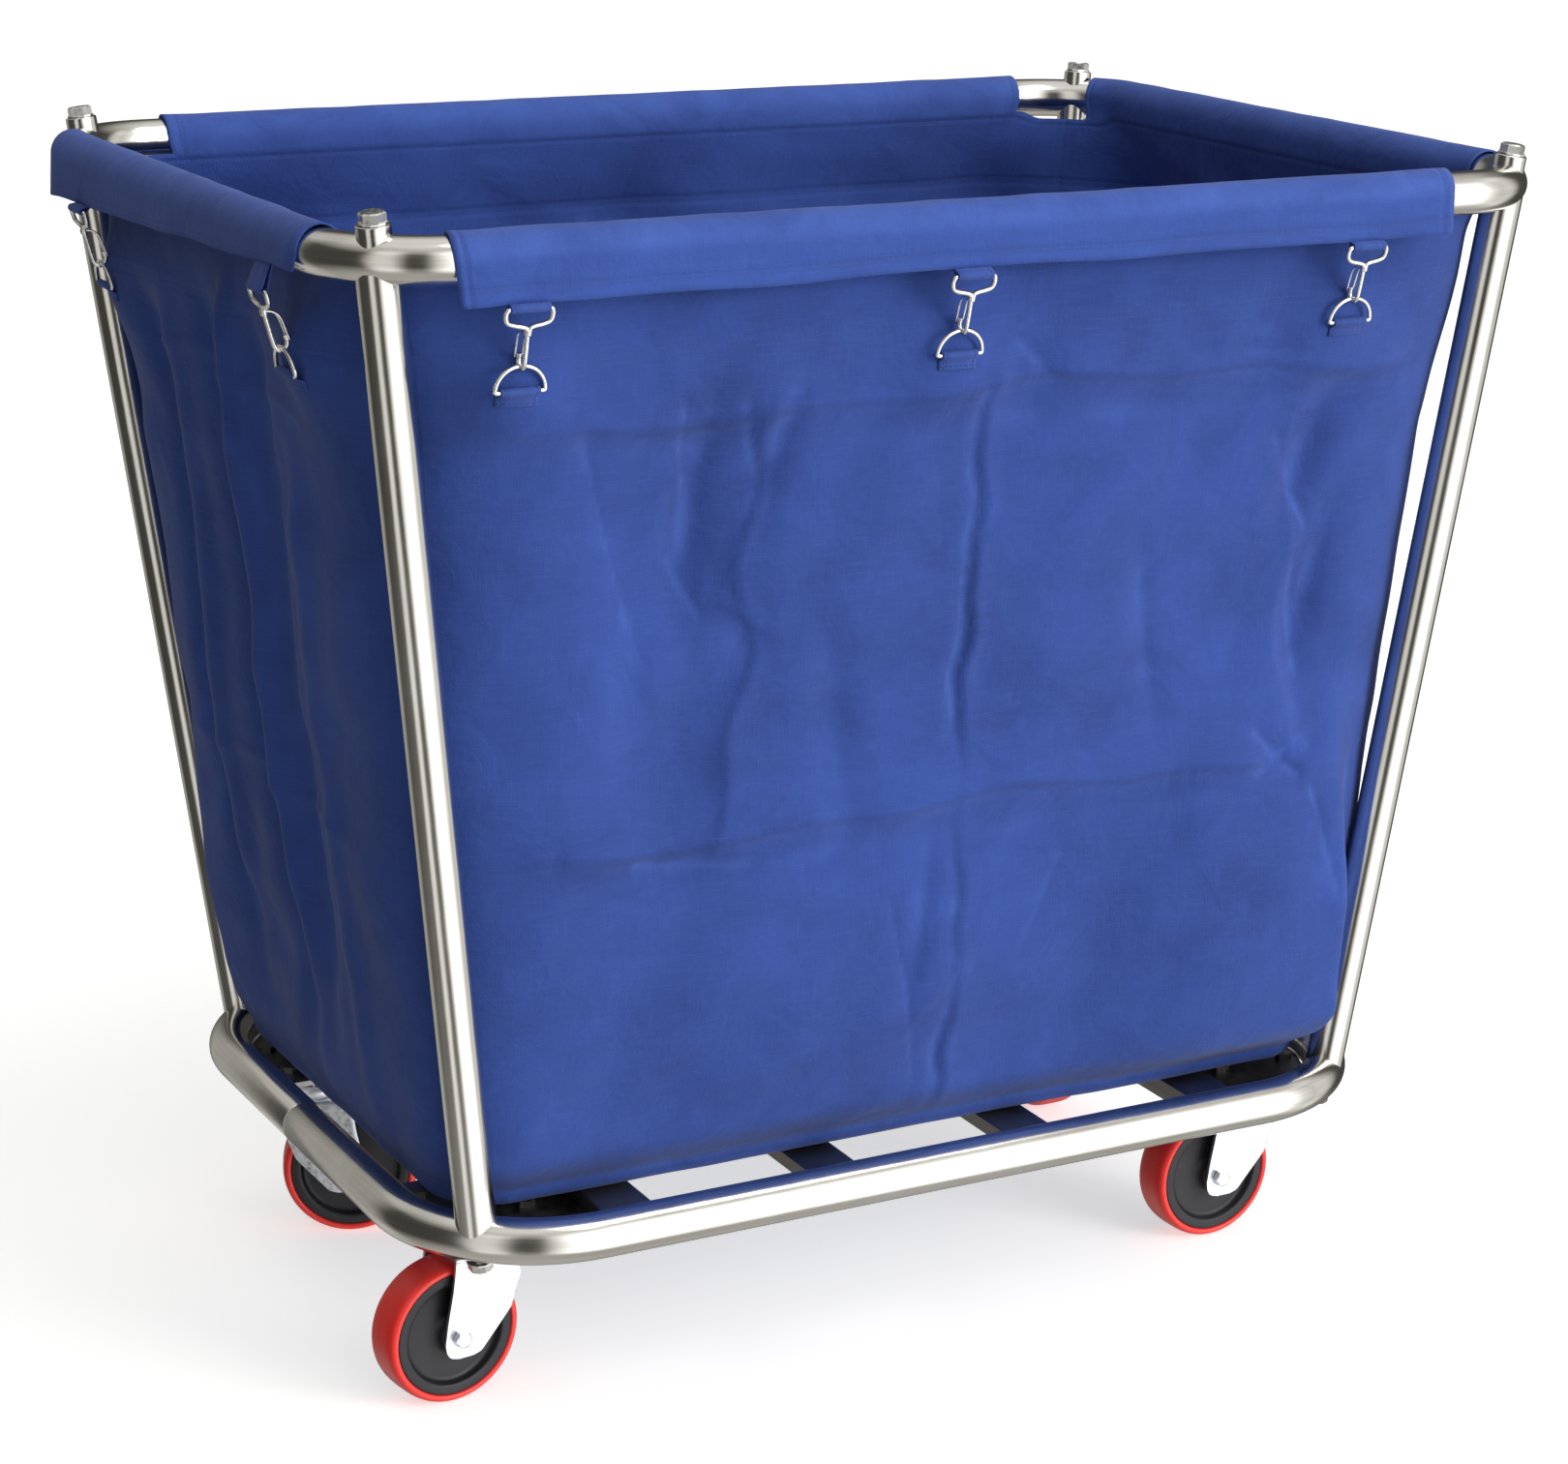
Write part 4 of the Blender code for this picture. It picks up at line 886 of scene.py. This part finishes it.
def cloth_wall(columns, side, t, u, heights):
    """The wall's points from the bottom turn up to the rim, and its outward normals."""
    fx, fy, share = columns.T[..., None]
    side, t, u = side[:, None], t[:, None], u[:, None]
    z = np.broadcast_to(heights[None], (len(columns), len(heights))).copy()
    corner_dip = smooth(share, 1.05, 1.3) * smooth(share, 1.95, 1.7)
    z = z - smooth(z, 0.77, RIM_Z) * corner_dip * 0.006
    x, y, nx, ny = perimeter(*section(z), fx, fy, share)
    near_corner = smooth(share, 1.35, 1.0) + smooth(share, 1.65, 2.0)
    relief = panel_relief(side, t, z, u) * (0.25 + 0.75 * np.clip(near_corner, 0, 1))
    BAG["wall"] = np.stack([x + nx * relief, y + ny * relief, z], -1)
    BAG["side"] = side[:, 0]
    relief = relief + ring_pulls(side, x, y, z)
    seam = bump_at(share, 1.5, 0.02) * smooth(z, TURN_Z, 0.2) * smooth(z, RIM_Z, 0.79)
    x, y = x + nx * (relief + 0.0012 * seam), y + ny * (relief + 0.0012 * seam)
    # Loose cloth swells out at the foot of two corners, next to their posts.
    loose = smooth(share, 1.70, 1.92) * (1 - smooth(share, 2.05, 2.9)) * (fx * fy < 0)
    loose = loose * smooth(z, 0.50, 0.26) * smooth(z, 0.158, 0.215)
    x, y = keep_off_posts(x + fx * 0.014 * loose, y + fy * 0.030 * loose, z, 0.0022)
    BAG["wall"] = np.stack([x, y, z], -1)
    return BAG["wall"], np.concatenate([nx, ny, 0 * nx], 1)


def cloth_floor(first, normal):
    """From the wall's lowest row round the bottom edge, then in over the sagging floor."""
    rows = [first - normal * EDGE_TURN * (1 - np.cos(s)) - np.array([0, 0, EDGE_TURN * np.sin(s)])
            for s in np.linspace(0, np.pi / 2, 7)]
    last = rows[-1]
    spine = np.stack([np.clip(last[:, 0], -0.14, 0.14), 0 * last[:, 0]], -1)
    for k in np.linspace(0, 1, 30)[1:]:
        spot = last[:, :2] * (1 - k) + spine * k
        hollow = np.min(np.abs(spot[:, :1] - CROSSBARS_X), 1)
        sag = 0.0024 * smooth(hollow, 0.018, 0.070) * smooth(k, 0.02, 0.2)
        ripple = crumple(spot[:, 0], spot[:, 1], 21, 0.11, 0.0010) * smooth(k, 0.0, 0.3)
        height = last[:, 2] + (FLOOR_Z + CLOTH / 2 - last[:, 2]) * smooth(k, 0, 0.1)
        rows.append(np.column_stack([spot, height - sag + np.maximum(ripple, -0.0002)]))
    return np.stack(rows, 1)


def cloth_flap(flap, quarters, reach, rim):
    """A flap from the rim row over the top ring and down its outside to the hem."""
    low, high, rise_low, rise_high = FLAPS[flap]
    px, py, pnx, pny = perimeter(TOP["a"], TOP["b"], TOP["corner"], *quarters.T)
    part = (reach - low) / (high - low)
    wobble = crumple(reach, 0 * reach, 30 + flap, 0.10, 0.0011)
    ends = np.minimum(reach - low, high - reach)
    hem = HEM_Z + rise_low + (rise_high - rise_low) * part - 0.0012 * smooth(ends, 0.03, 0.0)
    hem = hem + crumple(reach, 0 * reach, 40 + flap, 0.16, 0.0012)
    rows = [rim]
    for angle in np.linspace(np.pi, 0, 15):
        r = ARCH + 0.0006 * np.sin(angle) ** 2 + np.abs(wobble) * 0.3 * np.sin(angle)
        pucker = crumple(reach + angle * 0.02, 0 * reach, 50 + flap, 0.045, 1.0)
        r = r + 0.0009 * pucker * np.sin(angle / 2) ** 2 * 0.35
        rows.append(np.stack([px + pnx * r * np.cos(angle), py + pny * r * np.cos(angle),
                              TOP["z"] + r * np.sin(angle)], -1))
    lean = smooth(ends, 0.05, 0.0) * 0.0012
    for k in np.linspace(0, 1, DROP_ROWS + 1)[1:]:
        flare = ARCH + 0.0012 * k + wobble * k + lean * k
        for _, clip_side, place in HOOKS:
            if clip_side == flap:
                flare = flare - 0.0010 * k * bump_at(reach, place, 0.018)
        flare = np.maximum(flare, ARCH)
        rows.append(np.stack([px + pnx * flare, py + pny * flare,
                              TOP["z"] + (hem - TOP["z"]) * k], -1))
    grid = np.stack(rows, 1)
    slant = 0.006 * smooth(ends, 0.05, 0.0) * np.where(part < 0.5, 1, -1)
    shift = np.stack([slant, 0 * slant] if flap in (FRONT, REAR) else [0 * slant, slant], -1)
    amount = np.clip((np.arange(grid.shape[1]) - 8) / (grid.shape[1] - 9), 0, 1)
    grid[..., :2] += shift[:, None] * amount[None, :, None]
    return grid


def build_bag():
    columns = ring_columns()
    side, t = place_along(columns)
    loop = np.append(np.arange(len(columns)), 0)
    u_all = lengths(np.stack(perimeter(0.40, 0.268, 0.10, *columns.T)[:2], -1)[loop])
    heights = np.concatenate([np.linspace(0.1665, RIM_Z - 0.012, 190), [0.795, 0.799, RIM_Z]])
    wall, normal = cloth_wall(columns, side, t, u_all[:-1], heights)
    climb = np.linalg.norm(np.diff(wall, axis=1), axis=2).mean(0)
    v = np.concatenate([[0.004], 0.004 + np.cumsum(climb)])
    shell = Shell()
    shell.grid(wall, np.stack(np.broadcast_arrays(u_all[:, None], v[None, :]), -1), close_u=True)
    floor = cloth_floor(wall[:, 0], normal)
    shell.grid(floor, floor[loop][..., :2], close_u=True, mat=2)
    ends, hems = [], []
    for flap in FLAPS:
        picked, reach = flap_columns(columns, flap)
        grid = BAG["flaps"][flap] = cloth_flap(flap, columns[picked], reach, wall[picked, -1])
        drop = np.linalg.norm(np.diff(grid, axis=1), axis=2).mean(0)
        v_flap = v[-1] + np.concatenate([[0], np.cumsum(drop)])
        u_flap = unwrapped(u_all[:-1][picked], u_all[-1])
        ends += [("u", float(u_flap.min()) + 0.007), ("u", float(u_flap.max()) - 0.007)]
        hems.append(float(v_flap[-1]))
        uv = np.stack(np.broadcast_arrays(u_flap[:, None], v_flap[None, :]), -1)
        shell.grid(grid, uv, mat=1)
    band, hem = float(np.interp(BAND_Z, heights, v)), sorted(hems)[len(hems) // 2]
    rows = [("v", place) for place in (band, band + 0.004, 0.010, v[-1] - 0.006)]
    corners = np.where(np.abs(columns[:, 2] - 1.5) < 1e-9)[0]
    rows += [("u", float(u_all[k]) + 0.004) for k in corners]
    bag = shell.object("laundry_bag_canvas", [
        canvas("blue_canvas", rows),
        # The flaps' canvas is lighter than the wall's: painted light, standing for the light that
        # falls on their tops from above.
        canvas("blue_canvas_hemmed_painted_lighter", [("v", hem - 0.008), ("v", hem - 0.0105)] + ends,
               colour=(0.041, 0.090, 0.365), deep_and_shade=(0.026, 0.060, 0.260)),
        canvas("blue_canvas_floor"),
    ], "cart_frame", "canvas", ["laundry_bag"])
    clean(bag.data, weld=True)
    add_wear(bag)
    modifier(bag, "SOLIDIFY", thickness=CLOTH, offset=0.0)


def unwrapped(u, total):
    """Perimeter distances made to run on where a flap crosses the start of the loop."""
    out = u.copy()
    for i in range(1, len(out)):
        while out[i] < out[i - 1] - total / 2:
            out[i:] += total
    return out


def flap_columns(columns, flap):
    """The columns a flap is sewn to, in order, and how far along its side each one is."""
    low, high = FLAPS[flap][:2]
    x, y = perimeter(TOP["a"], TOP["b"], TOP["corner"], *columns.T)[:2]
    share = columns[:, 2]
    if flap in (FRONT, REAR):
        along, on = x, (y < 0 if flap == FRONT else y > 0) & (share >= 1.0)
    else:
        along, on = y, (x < 0 if flap == LEFT else x > 0) & (share <= 2.0)
    picked = np.where(on & (along >= low - 1e-6) & (along <= high + 1e-6))[0]
    breaks = np.where(np.diff(picked) > 1)[0]
    if len(breaks):
        picked = np.concatenate([picked[breaks[0] + 1:], picked[:breaks[0] + 1]])
    return picked, along[picked]


def add_wear(obj):
    """Mark crests and edges of the cloth, where it rubs pale, from its own curvature."""
    mesh = obj.data
    count = len(mesh.vertices)
    places = np.empty(count * 3)
    mesh.vertices.foreach_get("co", places)
    places = places.reshape(-1, 3)
    normals = np.empty(count * 3)
    mesh.vertices.foreach_get("normal", normals)
    normals = normals.reshape(-1, 3)
    pairs = np.empty(len(mesh.edges) * 2, int)
    mesh.edges.foreach_get("vertices", pairs)
    pairs = pairs.reshape(-1, 2)
    total = np.zeros((count, 3))
    number = np.zeros(count)
    for k in (0, 1):
        np.add.at(total, pairs[:, k], places[pairs[:, 1 - k]])
        np.add.at(number, pairs[:, k], 1)
    lap = total / np.maximum(number, 1)[:, None] - places
    crest = -np.sum(lap * normals, 1)
    for _ in range(2):
        spread = np.zeros(count)
        for k in (0, 1):
            np.add.at(spread, pairs[:, k], crest[pairs[:, 1 - k]])
        crest = (crest + spread / np.maximum(number, 1)) / 2
    wear = np.clip((crest - 0.00004) / 0.00016, 0, 1)
    layer = mesh.attributes.new("wear", "FLOAT", "POINT")
    layer.data.foreach_set("value", wear.astype(np.float32))


build_bag()

# ================================================================ hooks, tabs and D-rings

# Wire path of a hook, as in the CAD: along the panel, away from it, down from the eye bar.
HOOK_SHAPE = [
    (0.0, -0.0088, 0.0335), (0.0, -0.0094, 0.0375), (0.0, -0.0078, 0.0410),
    (0.0, -0.0042, 0.0427), (0.0, -0.0010, 0.0400), (0.0, 0.0, 0.0365), (0.0, 0.0, 0.0150),
    (-0.0015, 0.0, 0.0125), (-0.0120, 0.0, 0.0105), (-0.0150, 0.0, 0.0080),
    (-0.0155, 0.0, 0.0025), (-0.0135, 0.0, 0.0), (0.0135, 0.0, 0.0),
    (0.0155, 0.0, 0.0025), (0.0150, 0.0, 0.0080), (0.0120, 0.0, 0.0105),
    (0.0015, 0.0, 0.0122), (0.0008, 0.0, 0.0150),
]
# One leg of the wire gate, from the crimp on the shank to the loop round the hook's tip.
GATE_LEG = [
    (-0.0018, -0.0006, 0.0150), (-0.0024, -0.0050, 0.0166), (-0.0025, -0.0084, 0.0205),
    (-0.0025, -0.0093, 0.0290), (-0.0024, -0.0098, 0.0352), (-0.0016, -0.0112, 0.0376),
]
HOOK_WIRE, RING_WIRE, GATE_WIRE = 0.0016, 0.0015, 0.0007
RING_HALF, RING_BAR_Z = 0.0165, 0.7305
RING_SEAT = (-0.0042, 0.0396)
TAB_HALF, TAB_THICK = 0.013, 0.0010


def hook_place(side, place):
    """Pivot of a hook, with the directions along the panel and away from it."""
    sign = -1.0 if side in (FRONT, LEFT) else 1.0
    if side in (FRONT, REAR):
        pivot = [place, sign * (TOP["b"] + HOOK_STANDOFF), HOOK_PIVOT_HEIGHT]
        return np.array(pivot), np.array([-sign, 0, 0]), np.array([0, sign, 0])
    pivot = [sign * (TOP["a"] + HOOK_STANDOFF), place, HOOK_PIVOT_HEIGHT]
    return np.array(pivot), np.array([0, -sign, 0]), np.array([sign, 0, 0])


def hook_points(side, place, shape):
    pivot, along, outward = hook_place(side, place)
    down = np.array([0, 0, -1.0])
    axis = down * math.cos(HOOK_LEAN) - outward * math.sin(HOOK_LEAN)
    out = outward * math.cos(HOOK_LEAN) + down * math.sin(HOOK_LEAN)
    shape = np.atleast_2d(np.asarray(shape, float))
    return pivot + shape[:, :1] * along + shape[:, 1:2] * out + shape[:, 2:] * axis


def flap_depth(side, place):
    """Rows of (how far out, height) down the drop of a flap at one place, hem last."""
    across, out = (0, 1) if side in (FRONT, REAR) else (1, 0)
    half = TOP["b"] if side in (FRONT, REAR) else TOP["a"]
    points = BAG["flaps"][side]
    points = points[np.argsort(points[:, -1, across])]
    return np.array([
        (np.interp(place, points[:, k, across], np.abs(points[:, k, out])) - half,
         np.interp(place, points[:, k, across], points[:, k, 2]))
        for k in range(-DROP_ROWS, 0)
    ])


def strip(shell, side, place, profile):
    """Webbing laid along a profile of (how far out, height) worked out for each thread of it."""
    _, along, outward = hook_place(side, place)
    offsets = np.linspace(-TAB_HALF, TAB_HALF, 11)
    grid = []
    for offset in offsets:
        spot = place + offset * (along[0] + along[1])
        rows = np.array(profile(spot))
        base = np.abs(along) * spot
        grid.append(base + rows[:, :1] * outward + rows[:, 1:] * [0, 0, 1.0])
    grid = np.array(grid)
    run = lengths(grid[5])
    uv = np.stack(np.meshgrid(offsets + TAB_HALF, run, indexing="ij"), -1)
    shell.grid(grid, uv)


def tab_profile(side):
    """Down from behind the hem, round the eye bar and up again behind itself."""
    half = TOP["b"] if side in (FRONT, REAR) else TOP["a"]

    def profile(spot):
        drop = flap_depth(side, spot)
        hem = drop[-1, 1]
        face = np.linspace(min(hem + 0.008, drop[0, 1]), hem, 4)
        rows = [(np.interp(z, drop[::-1, 1], drop[::-1, 0]) - CLOTH / 2 - 0.0007, z) for z in face]
        turn = HOOK_WIRE + TAB_THICK / 2 + 0.0002
        for angle in np.radians(np.linspace(62, -165, 15)):
            rows.append((HOOK_STANDOFF + turn * math.cos(angle),
                         HOOK_PIVOT_HEIGHT + turn * math.sin(angle)))
        back = rows[0][0] - 0.0014
        rows += [(back, hem + 0.001), (back, hem + 0.004), (back, hem + 0.008)]
        return [(half + out, z) for out, z in rows]

    return profile


def ring_bar(side, place):
    """How far out the D-ring's straight bar lies, on its webbing on the bag."""
    return wall_depth(side, place, RING_BAR_Z) + CLOTH / 2 + TAB_THICK + RING_WIRE + 0.0006


def patch_profile(side, place):
    """Sewn flat on the bag, up over the D-ring's bar and down behind it."""
    bar = ring_bar(side, place)

    def profile(spot):
        heights = np.linspace(0.7205, RING_BAR_Z - 0.0040, 5)
        depth = wall_depth(side, spot, heights) + CLOTH / 2 + TAB_THICK / 2 + 0.0003
        rows = list(zip(depth, heights))
        turn = RING_WIRE + TAB_THICK / 2 + 0.0001
        for angle in np.radians(np.linspace(-62, 168, 14)):
            rows.append((bar + turn * math.cos(angle), RING_BAR_Z + turn * math.sin(angle)))
        return rows

    return profile


def build_hooks():
    tabs, patches, rings = Shell(), Shell(), Shell()
    for name, side, place in HOOKS:
        shell = Shell()
        wire(shell, hook_points(side, place, HOOK_SHAPE), HOOK_WIRE, 16, smooth=3)
        leg = np.array(GATE_LEG)
        gate = np.concatenate([leg, leg[::-1] * [-1, 1, 1]])
        wire(shell, hook_points(side, place, gate), GATE_WIRE, 10, smooth=3)
        crimp = [(0.0, 0.0, 0.0138), (0.0, 0.0, 0.0176)]
        low, high = hook_points(side, place, crimp)
        band = rounded_profile([(0.0012, 0.0), (0.0027, 0.0), (0.0027, 0.0038), (0.0012, 0.0038)],
                               0.0006)
        lathe(shell, band, low, high - low, 28)
        shell.object(name + "_wire", [NICKEL], name, "nickel_wire", [name])
        strip(tabs, side, place, tab_profile(side))
        strip(patches, side, place, patch_profile(side, place))
        _, along, outward = hook_place(side, place)
        bar = np.abs(along) * place + outward * ring_bar(side, place) + [0, 0, RING_BAR_Z]
        rise = hook_points(side, place, (0.0, *RING_SEAT))[0] - bar
        turn = np.linspace(0, np.pi, 25)[:, None]
        arc = bar + along * RING_HALF * np.cos(turn) + rise * np.sin(turn) ** 0.92
        path = np.concatenate([arc, bar + along * np.linspace(-0.013, 0.013, 9)[:, None]])
        wire(rings, path, RING_WIRE, 14, smooth=1, closed=True)
    webbing = canvas("blue_webbing", [("u", 0.0025), ("u", 0.0235), ("v", 0.0022)],
                     pitch=0.0016, colour=WEBBING_BLUE, worn=WEBBING_WORN, deep_and_shade=WEBBING_DEEP,
                     thread=THREAD_BLUE, relief=0.3)
    for shell, word in ((tabs, "hook_tabs"), (patches, "ring_patches")):
        obj = shell.object(word, [webbing], "cart_frame", "canvas")
        modifier(obj, "SOLIDIFY", thickness=TAB_THICK, offset=0.0)
    rings.object("d_rings", [NICKEL], "cart_frame", "nickel_wire")


build_hooks()


for name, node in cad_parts.items():
    target = None
    if name.startswith("crossbar"):
        target = BAR_STEEL_PAINTED_DARK
    elif name.startswith("mounting_plate") or "sleeve" in name:
        target = PLATE_STEEL_PAINTED_DARK
    elif name.endswith("_top_plate") or name.endswith("_axle_bolt"):
        target = ZINC
    elif "bolt" in name:
        target = BOLT_PLATE
    if target is not None:
        node.data.materials.clear()
        node.data.materials.append(target)
        bevel(node, 0.0005, 25)

# ================================================================ camera, light and floor


def build_camera():
    """The photo's camera, as solved from it: focal length and image centre in its pixels."""
    yaw, pitch, roll = 0.502350, 0.299276, 0.0144603
    place = Vector((-1.22001, -2.35267, 1.15665))
    forward = Vector((math.sin(yaw) * math.cos(pitch), math.cos(yaw) * math.cos(pitch),
                      -math.sin(pitch)))
    right = Vector((math.cos(yaw), -math.sin(yaw), 0))
    up = right.cross(forward)
    turned_right = right * math.cos(roll) + up * math.sin(roll)
    turned_up = up * math.cos(roll) - right * math.sin(roll)
    data = bpy.data.cameras.new("view_camera")
    data.sensor_width = 36.0
    data.lens = 3844.1 / 1620 * 36
    data.shift_x = (810 - 892.354) / 1620
    data.shift_y = (831.896 - 756.5) / 1620
    data.clip_end = 60
    camera = bpy.data.objects.new("view_camera", data)
    matrix = Matrix((turned_right, turned_up, -forward)).transposed().to_4x4()
    matrix.translation = place
    camera.matrix_world = matrix
    bpy.context.scene.collection.objects.link(camera)
    bpy.context.scene.camera = camera


def area_light(name, place, target, size, power, colour=(1, 1, 1)):
    data = bpy.data.lights.new(name, "AREA")
    data.shape = "RECTANGLE"
    data.size, data.size_y = size
    data.energy = power
    data.color = colour
    light = bpy.data.objects.new(name, data)
    light.location = place
    light.rotation_mode = "QUATERNION"
    light.rotation_quaternion = (Vector(target) - Vector(place)).to_track_quat("-Z", "Y")
    bpy.context.scene.collection.objects.link(light)


# Tall softboxes round the studio: azimuth, half angle at full strength, half angle at none,
# strength. Between them it is dim, so that steel shows bright and dark bands.
SOFTBOXES = [(294.0, 18.0, 46.0, 1.75), (214.0, 6.0, 18.0, 0.75), (350.0, 5.0, 20.0, 0.7),
             (110.0, 8.0, 30.0, 0.35)]
OVERHEAD = (0.50, 0.92, 0.07, 0.80)
UNDERFOOT = (-0.85, -0.40, 0.42, 0.0)
FLOOR_GLOW = 0.55


def build_stage():
    mat, n, shader = new_material("pale_floor")
    tone = n.noise(n.object_space(), 1.5, 2.0, 0.5)
    n.fill(shader, {
        "Base Color": n.mix(tone, (0.86, 0.86, 0.855), (0.90, 0.90, 0.895)), "Roughness": 0.75,
        "Specular IOR Level": 0.15, "Emission Color": (1.0, 1.0, 1.0),
        "Emission Strength": FLOOR_GLOW})
    mesh = bpy.data.meshes.new("floor")
    s = 30.0
    mesh.from_pydata([(-s, -s, 0), (s, -s, 0), (s, s, 0), (-s, s, 0)], [], [(0, 1, 2, 3)])
    mesh.materials.append(mat)
    floor = bpy.data.objects.new("floor", mesh)
    bpy.context.scene.collection.objects.link(floor)
    floor.visible_diffuse = False
    floor.visible_glossy = False
    world = bpy.data.worlds.new("studio")
    bpy.context.scene.world = world
    world.use_nodes = True
    w = Nodes(world.node_tree)
    background = world.node_tree.nodes["Background"]
    direction = w.add("ShaderNodeTexCoord").outputs["Generated"]
    level = w.split(direction)[2]
    flat = w.math("SUBTRACT", 1.0, w.math("POWER", level, 2.0))
    flat = w.math("SQRT", w.math("MAXIMUM", flat, 0.001))
    glow = 0.0
    for azimuth, narrow, wide, strength in SOFTBOXES:
        angle = math.radians(azimuth)
        facing = w.add("ShaderNodeVectorMath", {
            0: direction, 1: (math.cos(angle), math.sin(angle), 0)}, operation="DOT_PRODUCT")
        turned = w.math("DIVIDE", facing.outputs["Value"], flat)
        edges = math.cos(math.radians(wide)), math.cos(math.radians(narrow))
        glow = w.plus(w.ramp(turned, *edges, 0.0, strength), glow)
    glow = w.times(glow, w.ramp(w.math("ABSOLUTE", level), 0.80, 0.60))
    glow = w.plus(glow, w.ramp(level, *OVERHEAD))
    glow = w.plus(glow, w.ramp(level, *UNDERFOOT))
    seen = w.add("ShaderNodeLightPath").outputs["Is Camera Ray"]
    tint = w.mix(w.ramp(glow, 0.1, 0.9), (0.86, 0.83, 0.76), (1.0, 0.995, 0.985))
    w.fill(background, {"Strength": w.math("MAXIMUM", glow, seen),
                        "Color": w.mix(seen, tint, (1.0, 1.0, 1.0))})
    area_light("key", (1.6, -3.2, 1.35), (0, 0, 0.45), (1.7, 1.5), 54, (1, 0.985, 0.96))
    area_light("top", (0.7, -0.9, 3.3), (0, -0.1, 0.4), (1.6, 1.2), 18)
    bpy.context.scene.view_settings.view_transform = "Standard"


build_camera()
build_stage()
